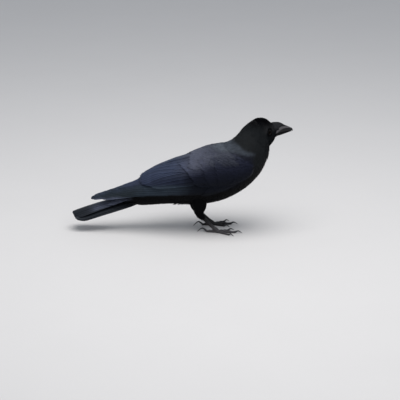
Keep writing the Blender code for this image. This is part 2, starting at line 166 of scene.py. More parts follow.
HAND_PANEL = np.array((  # the hand with its long quills, written the same way
    (0.1180, 0.0480, 0.1205, 0.1160, 0.0485, 0.1135, 0.0015),
    (0.0880, 0.0510, 0.1220, 0.0840, 0.0500, 0.0990, 0.0030),
    (0.0500, 0.0510, 0.1210, 0.0470, 0.0490, 0.0885, 0.0045),
    (0.0050, 0.0460, 0.1200, 0.0040, 0.0460, 0.0860, 0.0045),
    (-0.0400, 0.0370, 0.1150, -0.0400, 0.0410, 0.0847, 0.0045),
    (-0.0820, 0.0160, 0.1095, -0.0820, 0.0340, 0.0820, 0.0045),
    (-0.1070, 0.0080, 0.1020, -0.1070, 0.0295, 0.0785, 0.0040),
    (-0.1450, 0.0050, 0.0890, -0.1450, 0.0240, 0.0725, 0.0030),
    (-0.1760, 0.0055, 0.0815, -0.1760, 0.0190, 0.0685, 0.0020),
    (-0.1950, 0.0090, 0.0745, -0.1950, 0.0140, 0.0670, 0.0006),
))
SIDES = {"right": -1, "left": 1}
LEFT_WING_SHORT, SHORT_OVER = 0.007, 0.15  # the left wing is drawn in by this much, over this length


def blade_form(table, side, short=0.0):
    """A bulging panel as a surface: row number, then 0 at its upper edge to 1 at its lower one."""

    def surface(row, share, inward=0.0):
        """A point of the panel, bulging by (4 share (1 - share))^0.75 and let in by inward."""
        row, share = np.broadcast_arrays(np.asarray(row, float), np.asarray(share, float))
        rows = flow(table, row)
        high, low, bulge = rows[..., 0:3], rows[..., 3:6], rows[..., 6:7]
        chord = low - high
        out = np.stack((0 * chord[..., 0], -chord[..., 2], chord[..., 1]), -1)
        out = out / length(out)
        crown = np.clip(4 * share * (1 - share), 0, 1)[..., None] ** 0.75
        points = high + share[..., None] * chord + (crown * bulge - np.asarray(inward)[..., None]) * out
        drawn = short * np.clip(-points[..., 0] / SHORT_OVER, 0, 1)
        return np.stack((points[..., 0] + drawn, side * points[..., 1], points[..., 2]), -1)

    return surface


THIGH = (  # forward of the foot, up, radius
    (-0.0375, 0.0850, 0.0210),
    (-0.0380, 0.0690, 0.0185),
    (-0.0370, 0.0560, 0.0145),
    (-0.0372, 0.0450, 0.0108),
    (-0.0347, 0.0375, 0.0080),
    (-0.0305, 0.0325, 0.0060),
)
LEGS = {"right": (0.0725, -0.0280, -8.0), "left": (0.0640, 0.0245, 8.0)}  # foot x, foot y, turn
SPLAY = 0.08  # how much nearer the middle plane a leg lies for each metre of height


def limb_form(table, name, grow=0.0):
    """A round limb in its leg's own plane: row number, then the angle around it from the outer side."""
    foot_x, foot_y, _ = LEGS[name]

    def surface(row, angle):
        """A point of the limb, on a circle square to its middle line."""
        row, angle = np.broadcast_arrays(np.asarray(row, float), np.asarray(angle, float))
        read, ahead = flow(table, row), flow(table, row + 0.01)
        way = ahead[..., :2] - read[..., :2]
        way = way / length(way)
        radius = np.maximum(read[..., 2] + grow, 0.0004)
        forward = foot_x + read[..., 0] - radius * np.sin(angle) * way[..., 1]
        out = abs(foot_y) - SPLAY * read[..., 1] + radius * np.cos(angle)
        up = read[..., 1] + radius * np.sin(angle) * way[..., 0]
        return np.stack((forward, SIDES[name] * out, up), -1)

    return surface


def closed_rings(rings):
    """Points and faces of a closed loft: quads between rings, and a fan to a point in each end."""
    count, around = rings.shape[:2]
    number = np.arange(count * around).reshape(count, around)
    ahead = np.roll(number, -1, 1)
    quads = np.stack((number[:-1], ahead[:-1], ahead[1:], number[1:]), -1).reshape(-1, 4)
    first, last = count * around, count * around + 1
    fans = [
        np.stack((ahead[0], number[0], np.full(around, first)), -1),
        np.stack((number[-1], ahead[-1], np.full(around, last)), -1),
    ]
    points = np.vstack((rings.reshape(-1, 3), rings[0].mean(0), rings[-1].mean(0)))
    return points, quads, np.vstack(fans)


def piece(name, points, quads, fans=None, material=None, places=None, marks=None, crease=50.0):
    """Puts whole arrays into one mesh object: points, faces, bake places for every corner and named marks."""
    mesh = bpy.data.meshes.new(name)
    fans = np.zeros((0, 3), int) if fans is None else fans
    corners = np.concatenate((quads.ravel(), fans.ravel()))
    starts = np.concatenate((np.arange(len(quads)) * 4, len(quads) * 4 + np.arange(len(fans)) * 3))
    mesh.vertices.add(len(points))
    mesh.vertices.foreach_set("co", points.astype(np.float32).ravel())
    mesh.loops.add(len(corners))
    mesh.loops.foreach_set("vertex_index", corners.astype(np.int32))
    mesh.polygons.add(len(starts))
    mesh.polygons.foreach_set("loop_start", starts.astype(np.int32))
    if places is not None:
        layer = mesh.uv_layers.new(name="OFBake")
        spots = places[corners] if len(places) == len(points) else places
        layer.data.foreach_set("uv", spots.astype(np.float32).ravel())
    for title, values in (marks or {}).items():
        kind, field = ("FLOAT_VECTOR", "vector") if values.ndim == 2 else ("FLOAT", "value")
        mesh.attributes.new(title, kind, "POINT").data.foreach_set(field, values.astype(np.float32).ravel())
    mesh.update(calc_edges=True)
    mesh.validate()
    mesh.shade_smooth()
    mesh.set_sharp_from_angle(angle=math.radians(crease))
    if material:
        mesh.materials.append(material)
    made = bpy.data.objects.new(name, mesh)
    bpy.context.scene.collection.objects.link(made)
    return made


class Dye:
    """One value inside a finish. Reckoning with it adds Math nodes, and node() adds any other."""

    def __init__(self, tree, socket=None):
        self.tree, self.socket = tree, socket

    def node(self, kind, settings, values, out=0):
        """Adds a node: its settings first, such as an operation, then a value or a link for each socket."""
        made = self.tree.nodes.new(kind)
        for key, value in settings.items():
            setattr(made, key, value)
        for key, value in values.items():
            if isinstance(value, Dye):
                self.tree.links.new(value.socket, made.inputs[key])
            else:
                made.inputs[key].default_value = value
        return Dye(self.tree, made.outputs[out])

    def reckon(self, operation, *values):
        """One step of arithmetic on numbers."""
        return self.node("ShaderNodeMath", {"operation": operation}, dict(enumerate(values)))

    def __add__(self, other):
        return self.reckon("ADD", self, other)

    def __sub__(self, other):
        return self.reckon("SUBTRACT", self, other)

    def __rsub__(self, other):
        return self.reckon("SUBTRACT", other, self)

    def __mul__(self, other):
        return self.reckon("MULTIPLY", self, other)

    __radd__, __rmul__ = __add__, __mul__

    def sine(self):
        """The sine of this value in radians."""
        return self.reckon("SINE", self)

    def size(self):
        """This value without its sign."""
        return self.reckon("ABSOLUTE", self)

    def most(self, other):
        """The greater of two values."""
        return self.reckon("MAXIMUM", self, other)

    def place(self):
        """Where a point lies, in the object's own coordinates."""
        return self.node("ShaderNodeTexCoord", {}, {}, 3)

    def mark(self, name, out=2):
        """A named mark of the mesh, as a number, or as a vector from output 1."""
        return self.node("ShaderNodeAttribute", {"attribute_name": name}, {}, out)

    def parts(self):
        """The three numbers of this vector."""
        split = self.node("ShaderNodeSeparateXYZ", {}, {0: self})
        return [Dye(self.tree, socket) for socket in split.socket.node.outputs]

    def step(self, low, high):
        """0 below low, 1 above high and a soft step between them."""
        settings = {"interpolation_type": "SMOOTHSTEP"}
        return self.node("ShaderNodeMapRange", settings, {0: self, 1: low, 2: high, 3: 0.0, 4: 1.0})

    def mix(self, one, other):
        """Blends two colours, with this value as the share of the second."""
        return self.node("ShaderNodeMix", {"data_type": "RGBA"}, {0: self, 6: one, 7: other}, 2)

    def shade(self, colour):
        """A colour made lighter or darker by this value."""
        colour = colour if isinstance(colour, Dye) else colour[:3]
        return self.node("ShaderNodeVectorMath", {"operation": "SCALE"}, {0: colour, "Scale": self})

    def clouds(self, scale, detail=2.0, place=None):
        """Soft noise from 0 to 1 on the object's own coordinates, or on another place."""
        place = place or self.place()
        return self.node("ShaderNodeTexNoise", {}, {"Vector": place, "Scale": scale, "Detail": detail})

    def bumps(self, depth):
        """Turns this height, 0 to 1, into a bump this many metres deep."""
        return self.node("ShaderNodeBump", {}, {"Strength": 1.0, "Distance": depth, "Height": self})


def finish(name, recipe, **steady):
    """A material: steady values sit on the shader's own sockets, and the recipe makes the changing ones."""
    material = bpy.data.materials.new(name)
    material.use_nodes = True
    tree = material.node_tree
    shader = tree.nodes["Principled BSDF"]
    for key, value in steady.items():
        shader.inputs[key.replace("_", " ")].default_value = value
    for key, value in recipe(Dye(tree)).items():
        tree.links.new(value.socket, shader.inputs[key])
    return material


def colour(red, green, blue):
    """A solid colour by its shares of red, green and blue light given back."""
    return (red, green, blue, 1.0)


CROWN_BLACK = colour(0.0016, 0.0016, 0.0022)  # and round each eye
NECK_BLACK = colour(0.0088, 0.0100, 0.0112)  # matt, greenish grey
BROW_PAINTED_SHEEN = colour(0.0240, 0.0245, 0.0260)  # dark grey, a painted sheen of the sky on the brow
BACK_PAINTED_SHEEN = colour(0.0430, 0.0500, 0.0620)  # blue grey, a painted sheen of the sky on the black back
COVERT_BLACK = colour(0.0065, 0.0072, 0.0150)  # violet
LOW_PAINTED_SHADE = colour(0.0014, 0.0018, 0.0040)  # painted shade: the coverts darkened towards their lower edge, and the long quills' roots under the coverts
FLAP_BLACK = colour(0.0140, 0.0175, 0.0330)  # violet blue
INNER_PAINTED_SHEEN = colour(0.0300, 0.0380, 0.0660)  # the innermost long feathers, violet made lavender by a painted sheen of the sky
SHOULDER_REAR_PAINTED_SHEEN = colour(0.0510, 0.0540, 0.0770)  # below the mantle, a painted sheen of the sky, paler than the front
SHOULDER_FRONT = colour(0.0175, 0.0190, 0.0300)
QUILL_PAINTED_LIGHT = colour(0.0225, 0.0310, 0.0420)  # greenish blue, painted lighter where the flap shades the quills
QUILL_END_PAINTED_SHADE = colour(0.0108, 0.0150, 0.0172)  # the wing's point, darker as painted shade
# painted light: the tail's upper face painted pale where the sky lights it
TAIL_TOP_PAINTED_LIGHT = colour(0.0660, 0.0740, 0.1060)
TAIL_BLACK = colour(0.0085, 0.0100, 0.0135)
# black, darkened further as painted shade under the body
BELLY_PAINTED_SHADE = colour(0.0006, 0.0006, 0.0010)

EYE_CENTRE = np.array((-0.0015, 0.0160, -0.0018))  # in the head's axes, on the left side


def markings(dye):
    """The plumage's colour from its place, its own with painted sheen and shade, each bound a soft step
    across a plane that drifts a little. Over a plane through the neck's root comes the matt neck, with a
    black crown, a dark grey brow of painted sheen and a black patch round each eye. The back is grey at the
    top with a painted sheen of the sky, with a duller shoulder of painted sheen, paler behind, above a level
    that rises forwards, and lavender painted sheen on the innermost long feathers. Below it are violet wing
    coverts, darkened towards their lower edge as painted shade, a bluer flap behind them and greener long
    quills under that, painted lighter where the flap shades them, darker towards the wing's point and near
    black at their roots as painted shade, with a matt breast between the wings that darkens downwards as
    painted shade. The belly is black under a level that is nearly flat, darkened further as painted shade,
    and the tail has a top painted pale as painted light."""
    place = dye.place()
    x, y, z = place.parts()
    drift = (place.clouds(38.0) - 0.5) * 0.016
    level = z - x * 0.10 + drift * 0.6
    behind = (drift - x).step(-0.035, 0.030)
    # Painted light and shade: the long quills are lighter mid-wing, where the flap shades them, and darker
    # towards the point.
    long_quills = (drift - x).step(0.060, 0.130).mix(QUILL_PAINTED_LIGHT, QUILL_END_PAINTED_SHADE)
    # Painted shade: the long quills' roots and the coverts' lower part are painted near black.
    below = (drift - x).step(-0.060, 0.0).mix(LOW_PAINTED_SHADE, long_quills)
    flap = level.step(0.107, 0.117).mix(below, FLAP_BLACK)
    side = behind.mix(level.step(0.104, 0.146).mix(LOW_PAINTED_SHADE, COVERT_BLACK), flap)
    breast = (1 - (y.size() + drift * 0.3).step(0.034, 0.046)) * x.step(0.06, 0.10)
    # Painted shade: the breast darkens downwards into the belly's black.
    side = breast.mix(side, level.step(0.090, 0.150).mix(BELLY_PAINTED_SHADE, NECK_BLACK))
    # Painted sheen on the upper shoulder, paler behind, and on the innermost long feathers.
    shoulder = behind.mix(x.step(0.025, 0.085).mix(SHOULDER_REAR_PAINTED_SHEEN, SHOULDER_FRONT), INNER_PAINTED_SHEEN)
    upper = (z - x * 0.30 + drift).step(0.120, 0.152).mix(side, shoulder)
    # Painted sheen: the top of the back is painted pale blue grey, as if lit by the sky.
    upper = (z + x * 0.12 + drift * 0.5).step(0.187, 0.195).mix(upper, BACK_PAINTED_SHEEN)
    # Painted light: the tail's top is painted pale above its darker sides, short of the tip.
    tail = (z - x * 0.304 + drift * 0.2).step(0.0995, 0.1040) * (1 - (drift - x).step(0.175, 0.205))
    tail = tail.mix(TAIL_BLACK, TAIL_TOP_PAINTED_LIGHT)
    # The belly is painted near black as shade under the body.
    low = (drift - x).step(0.100, 0.130).mix(BELLY_PAINTED_SHADE, tail)
    trunk = level.step(0.084, 0.094).mix(low, upper)
    ahead = (x - HEAD_CENTRE[0]) * HEAD_AXES[0, 0] + (y - HEAD_CENTRE[1]) * HEAD_AXES[1, 0]
    # Painted sheen: the brow, from eye level up and forwards, is painted dark grey.
    face = (z + drift * 0.4).step(0.2110, 0.2190) * (ahead + drift * 0.3).step(-0.0220, -0.0120)
    black = (z + drift).step(0.2215, 0.2395)
    for way in (1, -1):
        reach = place.node("ShaderNodeVectorMath", {"operation": "DISTANCE"},
                           {0: place, 1: tuple(on_head(EYE_CENTRE * (1, way, 1)))}, 1)
        black = black.most(1 - (reach + drift * 0.03).step(0.0088, 0.0116))
    head = black.mix(face.mix(NECK_BLACK, BROW_PAINTED_SHEEN), CROWN_BLACK)
    neck = (x * 0.44 + z * 0.90 + drift * 0.6).step(0.2180, 0.2290)
    throat = (x + drift * 0.5).step(0.1460, 0.1560) * level.step(0.120, 0.140)
    return neck.most(throat).mix(trunk, head)


def skin_recipe(dye):
    """Bare dark skin: the markings, dulled, with a fine pebble."""
    pebble = dye.clouds(900.0, 3.0)
    tone = dye.clouds(120.0) * 0.5 + 0.6
    return {
        "Base Color": tone.shade(markings(dye)),
        "Roughness": pebble * 0.2 + 0.6,
        "Normal": pebble.bumps(0.0004),
    }


SKIN_FINISH = finish("bare_skin", skin_recipe, Specular_IOR_Level=0.2)
COAT_DEPTHS = np.array((  # at each section
    0.0030, 0.0036, 0.0040, 0.0040, 0.0040, 0.0040, 0.0040, 0.0038,
    0.0036, 0.0032, 0.0026, 0.0021, 0.0017, 0.0014, 0.0012, 0.0011,
))[:, None]


def skin_place(section, angle):
    """The unwrap of the trunk, neck and head: rump to bill across, and around the body upwards."""
    return np.stack((0.02 + 0.96 * section / LAST_SECTION, 0.02 + 0.72 * (angle / (2 * math.pi) % 1.0)), -1)


def unwrapped(rows, around, place):
    """Bake places for every corner of a closed loft, with no face run back across the seam."""
    row = np.repeat(np.arange(rows - 1), around)
    turn = np.tile(np.arange(around), rows - 1)
    corner_rows = np.stack((row, row, row + 1, row + 1), -1) / (rows - 1)
    corner_turns = np.stack((turn, turn + 1, turn + 1, turn), -1) / around
    ends = np.stack((np.arange(around) + 1, np.arange(around), np.arange(around) + 0.5), -1) / around
    back = np.stack((np.arange(around), np.arange(around) + 1, np.arange(around) + 0.5), -1) / around
    rows_of = np.concatenate((corner_rows.ravel(), np.zeros(around * 3), np.ones(around * 3)))
    turns_of = np.concatenate((corner_turns.ravel(), ends.ravel(), back.ravel()))
    return np.stack((place[0] + place[2] * rows_of, place[1] + place[3] * turns_of), -1)


def wing_core(name, rows, deep, inward):
    """The flesh under a wing's feathers: the panel's outer face let in, and another deep in the body."""
    short = LEFT_WING_SHORT if name == "left" else 0.0
    surface = blade_form(ARM_PANEL, SIDES[name], short)
    row = np.linspace(*rows, 26)[:, None]
    share = np.linspace(0.06, 0.94, 13)[None]
    outer = surface(row, share, inward)
    inner = surface(row, share[:, ::-1], deep)
    return np.concatenate((outer, inner), 1)


def build_skin():
    """Body, wing cores and thighs, each a closed loft, joined into one closed sheet."""
    sections = np.linspace(0, LAST_SECTION, 150)[:, None]
    angles = (np.arange(72) * 2 * math.pi / 72)[None]
    trunk = closed_rings(body(sections, angles, -flow(COAT_DEPTHS, sections[:, 0])))
    skin = piece("skin", *trunk, SKIN_FINISH, unwrapped(150, 72, (0.02, 0.02, 0.96, 0.72)))
    extras = []
    for number, (name, side) in enumerate(SIDES.items()):
        left = 0.02 + 0.5 * number
        core = wing_core(name, (0.5, 5.0), 0.014, 0.0050)
        extras.append(("arm", core, (left, 0.76, 0.2, 0.1)))
        thigh = limb_form(THIGH, name, -0.0030)
        rows = thigh(np.linspace(0, len(THIGH) - 1, 26)[:, None], angles[:, ::3] * side)
        extras.append(("thigh", rows, (left + 0.24, 0.76, 0.2, 0.1)))
    for title, rings, place in extras:
        extra = piece(title, *closed_rings(rings), SKIN_FINISH, unwrapped(*rings.shape[:2], place))
        joining = skin.modifiers.new(title, "BOOLEAN")
        joining.operation, joining.solver, joining.object = "UNION", "EXACT", extra
    bpy.context.view_layer.update()
    whole = bpy.data.meshes.new_from_object(skin.evaluated_get(bpy.context.evaluated_depsgraph_get()))
    skin.modifiers.clear()
    skin.data = whole
    for other in [other for other in bpy.data.objects if other.name.split(".")[0] in ("arm", "thigh")]:
        bpy.data.objects.remove(other)
    return skin


skin = build_skin()
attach(skin, "root")
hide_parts("trunk", "neck", "head", "thigh_left", "thigh_right")


# The contour feathers of the trunk and neck. Each is a thin closed vane rooted in the skin, and they lie in
# staggered rows like roof tiles, pointing back from the bill. Those of the neck are narrow and pointed, and
# those of the breast broad and round.

PATCH = 0.003  # width of each feather's place on the bake map


def facing(surface, a, b, hand):
    """A surface's points, its slopes along both parameters and its outward normal, by small central steps."""
    step = 1e-3
    points = surface(a, b)
    along = (surface(a + step, b) - surface(a - step, b)) / (2 * step)
    around = (surface(a, b + step) - surface(a, b - step)) / (2 * step)
    out = np.cross(along, around) * hand
    return points, along, around, out / np.maximum(length(out), 1e-9)


def shift(along, around, move):
    """The change of both parameters that moves a point by a small vector: two equations solved at once."""
    aa, ab, bb = (along * along).sum(-1), (along * around).sum(-1), (around * around).sum(-1)
    ma, mb = (along * move).sum(-1), (around * move).sum(-1)
    under = np.maximum(aa * bb - ab * ab, 1e-16)
    return (bb * ma - ab * mb) / under, (aa * mb - ab * ma) / under


def comb(surface, hand, a, b, heading, lengths, steps):
    """Follows the lie of the coat: walks from each root along the heading, in equal steps on the surface."""
    track = [(a, b)]
    for _ in range(steps):
        points, along, around, out = facing(surface, a, b, hand)
        way = heading(points, along, around, out)
        way = way - (way * out).sum(-1, keepdims=True) * out
        way = way / np.maximum(length(way), 1e-9) * (lengths / steps)[:, None]
        da, db = shift(along, around, way)
        a, b = a + da, b + db
        track.append((a, b))
    return np.stack([a for a, _ in track], 1), np.stack([b for _, b in track], 1)


def squares(grid):
    """Quads between the rows and columns of a grid of point numbers."""
    return np.stack((grid[:-1, :-1], grid[:-1, 1:], grid[1:, 1:], grid[1:, :-1]), -1).reshape(-1, 4)


def vanes(
    surface, hand, a, b, widths, lifts, thick, bow, place, tone, columns=(-1, 0, 1), limit=None, tilt=0.0
):
    """Closed vanes on spines a, b: cross rows of columns, this wide on each side, lifted off the surface. A
    column c stands at lift - bow c^2 + tilt c. The underside shares the rim. Returns points, quads, bake
    places and marks."""
    columns = np.asarray(columns, float)
    count, rows = a.shape
    spine, along, around, out = facing(surface, a, b, hand)
    way = np.gradient(spine, axis=1)
    side = np.cross(out, way) * hand
    side = side / np.maximum(length(side), 1e-9)
    reach = widths[..., None] * columns
    da, db = shift(along[:, :, None], around[:, :, None], side[:, :, None] * reach[..., None])
    spread_b = b[..., None] + db
    if limit:
        spread_b = np.clip(spread_b, *limit)
    top, _, _, lift_way = facing(surface, a[..., None] + da, spread_b, hand)
    height = lifts[..., None] - bow[:, None, None] * columns**2 + tilt * columns
    upper = top + lift_way * height[..., None]
    under = (upper - lift_way * thick[:, None, None, None])[:, 1:-1, 1:-1]
    wide = len(columns)
    each = rows * wide + (rows - 2) * (wide - 2)
    number = np.arange(rows * wide).reshape(rows, wide)
    below = number.copy()
    below[1:-1, 1:-1] = rows * wide + np.arange((rows - 2) * (wide - 2)).reshape(rows - 2, wide - 2)
    faces = np.concatenate((squares(number), squares(below)[:, [0, 3, 2, 1]]))[:, ::-hand]
    points = np.concatenate((upper.reshape(count, -1, 3), under.reshape(count, -1, 3)), 1)
    quads = (faces[None] + np.arange(count)[:, None, None] * each).reshape(-1, 4)
    run = np.cumsum(length(np.diff(spine, axis=1, prepend=spine[:, :1]))[..., 0], 1)
    share = np.broadcast_to(np.linspace(0, 1, rows)[None, :, None], upper.shape[:3])
    across = np.broadcast_to(columns / np.where(columns < 0, -columns[0], columns[-1]), upper.shape[:3])
    barb = run[..., None] + 0.8 * np.abs(reach)
    spot = np.asarray(place(a[:, :1], b[:, :1]))[:, :, None]
    spot = spot + PATCH * np.stack((across * 0.5, share - 0.5), -1)

    def both(values):
        """The values of the upper face, then those of the underside."""
        outer = values.reshape(count, rows * wide, -1)
        inner = values[:, 1:-1, 1:-1].reshape(count, -1, values.shape[-1])
        return np.concatenate((outer, inner), 1)

    blade = np.stack((share, across, np.broadcast_to(tone[:, None, None], share.shape)), -1)
    return {
        "points": points.reshape(-1, 3),
        "quads": quads,
        "places": both(spot).reshape(-1, 2),
        "blade": both(blade).reshape(-1, 3),
        "barb": both(barb[..., None]).reshape(-1),
    }


def coat(name, parts, material, replaced=()):
    """Joins sets of vanes into one piece of the plumage."""
    sizes = np.cumsum([0] + [len(part["points"]) for part in parts])
    quads = np.concatenate([part["quads"] + start for part, start in zip(parts, sizes)])
    whole = {key: np.concatenate([part[key] for part in parts]) for key in parts[0] if key != "quads"}
    marks = {"blade": whole["blade"], "barb": whole["barb"]}
    made = piece(name, whole["points"], quads, None, material, whole["places"], marks, 60.0)
    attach(made, "root")
    if replaced:
        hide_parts(*replaced)
    return made


def tiles(surface, a_span, b_span, spacing, first=0.5):
    """Roots in staggered rows. Along each line of the coat the distance over the spacing is summed, and whole
    numbers of that sum are rows. Each row is dealt out around in the same way, every other one half on."""
    a, b = np.linspace(*a_span, 420), np.linspace(*b_span, 145)
    points = surface(a[:, None], b[None])
    gap = spacing(points, a[:, None], b[None])
    count = np.cumsum(length(np.diff(points, axis=0))[..., 0] / gap[1:], axis=0)
    count = np.concatenate((np.zeros((1, len(b))), count))
    roots = []
    for row in range(int(count.max() + 1)):
        line = np.array([np.interp(row + first, tally, a) for tally in count.T])
        there = surface(line, b)
        run = length(np.diff(there, axis=0))[:, 0] / spacing(there, line, b)[1:]
        run = np.concatenate(([0.0], np.cumsum(run)))
        number = int(run[-1])
        if number:
            spot = np.interp((np.arange(number) + 0.25 + 0.5 * (row % 2)) / number * run[-1], run, b)
            reached = np.interp(spot, b, count[-1]) >= row + first
            roots.append(np.stack((np.interp(spot, b, line), spot), -1)[reached])
    return np.concatenate(roots)


FEATHER_GAPS = (  # section number, spacing
    (0, 0.0042), (6, 0.0040), (8, 0.0027), (9.5, 0.0020), (11, 0.0015), (13, 0.0012), (15, 0.0010),
)


def body_gap(points, section, angle):
    """Spacing of the feathers: 4.2 mm on the trunk, 2.7 on the neck, 1.5 on the crown and 1 at the bill."""
    return np.interp(section + 0 * angle, *zip(*FEATHER_GAPS))


def body_back(points, along, around, out):
    """Backwards along the body, drawn down a little on the sides."""
    return -along / length(along) + np.array((0.0, 0.0, -0.16))


TIP_SHAPE = {  # share along a vane, and half width there
    "round": ((0.0, 0.40, 0.70, 0.89, 1.0), (0.35, 0.90, 0.95, 0.66, 0.12)),
    "pointed": ((0.0, 0.35, 0.65, 0.87, 1.0), (0.35, 0.90, 0.76, 0.40, 0.06)),
}
UNDERSIDE = -math.pi / 2  # the body's angle there
BODY_TURN = (UNDERSIDE, 3 * math.pi / 2)
WING_EDGE, WING_FRONT, BACKBONE = 0.007, 0.022, 0.012  # widths kept feathered in the wing and on the back


def under_wing(points):
    """True where a folded wing lies over the body, well inside the panels' edges."""
    x, z = points[..., 0], points[..., 2]
    covered = np.zeros(x.shape, bool)
    for table in (ARM_PANEL, HAND_PANEL):
        back = table[::-1]
        top = np.interp(x, back[:, 0], back[:, 2])
        low = np.interp(x, back[:, 3], back[:, 5])
        inside = (x > back[0, 0] + WING_EDGE) & (x < back[-1, 0] - WING_FRONT)
        inside &= (z < top - WING_EDGE) & (z > low + WING_EDGE)
        covered |= inside & (np.abs(points[..., 1]) > BACKBONE)
    return covered


def body_vanes(roots, seed, long, wide, lift, shape="round", keep=None, heading=body_back, stand=0.0):
    """Vanes on the body from these roots: so many gaps long and wide, sunk in the coat's depth at the root as
    0.9 depth (1 - share)^1.6, and standing off towards the tip as stand gap share^3."""
    rng = np.random.default_rng(seed)
    gap = body_gap(None, roots[:, 0], roots[:, 1])
    a = roots[:, 0] + rng.normal(0, 0.10, len(roots)) * gap / 0.03
    b = roots[:, 1] + rng.normal(0, 0.06, len(roots)) * gap / 0.03
    size = rng.normal(1, 0.07, len(roots))
    shares, profile = (np.array(values) for values in TIP_SHAPE[shape])
    stray = rng.normal(0, 0.07, (len(roots), 1))

    def way(points, along, around, out):
        """The heading, a little astray to one side."""
        return heading(points, along, around, out) + stray * around / length(around)

    track_a, track_b = comb(body, -1, a, b, way, gap * long * size, 6)
    even = np.linspace(0, 1, 7)
    place = np.interp(shares, even, np.arange(7))
    low = np.minimum(place.astype(int), 5)
    part = place - low
    track_a = track_a[:, low] * (1 - part) + track_a[:, low + 1] * part
    track_b = track_b[:, low] * (1 - part) + track_b[:, low + 1] * part
    if keep is not None:
        kept = keep(body(track_a, track_b), track_a, track_b)
        track_a, track_b, gap, size = track_a[kept], track_b[kept], gap[kept], size[kept]
    widths = gap[:, None] * wide * profile
    depth = flow(COAT_DEPTHS, track_a[:, 0])[:, 0]
    jitter = rng.normal(0, 0.06, len(gap)) * depth
    sunk = depth[:, None] * 0.9 * (1 - shares) ** 1.6
    lifts = lift + jitter[:, None] - sunk + stand * shares**3 * gap[:, None]
    tone = rng.uniform(0, 1, len(gap))
    return vanes(body, -1, track_a, track_b, widths, lifts, 0.04 * gap, 0.05 * gap, skin_place, tone)


def coat_recipe(sheen, rim, grain=0.0011, band=0.55):
    """Feathers: the markings, paler along the edges past the band as a painted highlight of their gloss, with
    barbs and a shaft raised.
    """

    def recipe(dye):
        """Share along the vane, place across it and its own tone come from its marks."""
        share, across, tone = dye.mark("blade", 1).parts()
        ridges = (dye.mark("barb") * (2 * math.pi / grain)).sine() * 0.5 + 0.5
        shaft = 1 - across.size().step(0.02, 0.14)
        # Painted highlight: the vane's edges are painted paler, as gloss catching them.
        edge = across.size().step(band, 1.0) * rim
        cloud = dye.clouds(70.0, 3.0)
        level = (share.step(0.2, 0.8) * 0.25 + 0.78 + edge) * (tone * 0.24 + 0.88) * (cloud * 0.6 + 0.70)
        height = ridges * 0.5 + shaft * 0.9 + dye.clouds(600.0) * 0.5
        return {
            "Base Color": (level + ridges * 0.08).shade(markings(dye)),
            "Roughness": cloud * 0.16 + (sheen - 0.08) + ridges * 0.05,
            "Normal": height.bumps(0.00016),
        }

    return recipe


BODY_FINISH = finish("breast_feathers", coat_recipe(0.62, 0.10), Specular_IOR_Level=0.075)
NECK_FINISH = finish("neck_feathers", coat_recipe(0.64, 0.08), Specular_IOR_Level=0.12)

body_roots = tiles(body, (NECK_START + 0.3, -0.45), BODY_TURN, body_gap)


def trunk_kept(points, section, angle):
    """Leaves out what the wings cover."""
    return ~(under_wing(points[:, 1]) & under_wing(points[:, -1])) & (section[:, -1] > -0.9)


coat("trunk_coat", [body_vanes(body_roots, 1, 4.0, 0.74, 0.0002, keep=trunk_kept)], BODY_FINISH)
neck_roots = tiles(body, (HEAD_START + 0.4, NECK_START - 0.5), BODY_TURN, body_gap)


def hanging(points, along, around, out):
    """Down and back, as the long throat feathers and the flank's edge hang."""
    return -along / length(along) * 0.6 + np.array((-0.10, 0.0, -0.70))


def some_roots(seed, number, section, angle):
    """Roots strewn over part of the body."""
    rng = np.random.default_rng(seed)
    return np.stack((rng.uniform(*section, number), rng.uniform(min(angle), max(angle), number)), 1)


throat_roots = some_roots(5, 460, (9.0, 11.4), (UNDERSIDE - 0.75, UNDERSIDE + 0.75))
flank_roots = np.concatenate([
    some_roots(6 + side, 70, (2.9, 3.9), (UNDERSIDE + side * 0.95, UNDERSIDE + side * 0.35))
    for side in SIDES.values()
])
coat("neck_coat", [
    body_vanes(neck_roots, 2, 4.6, 0.62, 0.0003, "pointed"),
    body_vanes(throat_roots, 4, 7.5, 0.50, 0.0008, "pointed", heading=hanging, stand=0.5),
], NECK_FINISH)
coat("flank_coat", [
    body_vanes(flank_roots, 8, 5.0, 0.60, 0.0004, "pointed", heading=hanging, stand=0.7),
], BODY_FINISH)


# The head's feathers are short, narrow and stiff, and smallest round the bill. They are rooted in the skin as
# the others are, and two rings of tiny ones stand round each eye.

HEAD_FINISH = finish("head_feathers", coat_recipe(0.66, 0.06, 0.0008), Specular_IOR_Level=0.012)
EYE_RADIUS, EYE_TILT = 0.0070, math.radians(15)  # and how far the eye looks forward


def eye_axes(side):
    """Centre of one eye and its axes: outward, forward and up."""
    centre = on_head(EYE_CENTRE * (1, side, 1))
    out = HEAD_AXES @ (math.sin(EYE_TILT), side * math.cos(EYE_TILT), 0.06)
    out = out / np.linalg.norm(out)
    up = HEAD_AXES @ (0, 0, 1) - out * (out @ (HEAD_AXES @ (0, 0, 1)))
    up = up / np.linalg.norm(up)
    forward = np.cross(out, up) * -side
    return centre, out, forward, up


def eye_distance(points):
    """Distance from the nearer eye's line of sight."""
    shares = []
    for side in (1, -1):
        centre, out, _, _ = eye_axes(side)
        away = points - centre
        ahead = (away @ out)[..., None]
        shares.append(np.where(ahead[..., 0] > 0, length(away - ahead * out)[..., 0], 1.0))
    return np.minimum(*shares)


EYE_CLEAR = 0.0054  # radius kept free of feathers


def head_kept(points, section, angle):
    """Leaves out what would lie over an eye."""
    return eye_distance(points).min(1) > EYE_CLEAR


def body_near(targets, section, angle, rounds=8):
    """Section number and angle of the body nearest each target, by walking there from a first guess."""
    a, b = np.full(len(targets), section), np.full(len(targets), angle)
    for _ in range(rounds):
        points, along, around, _ = facing(body, a, b, -1)
        da, db = shift(along, around, targets - points)
        a, b = a + 0.8 * da, b + 0.8 * db
    return a, b


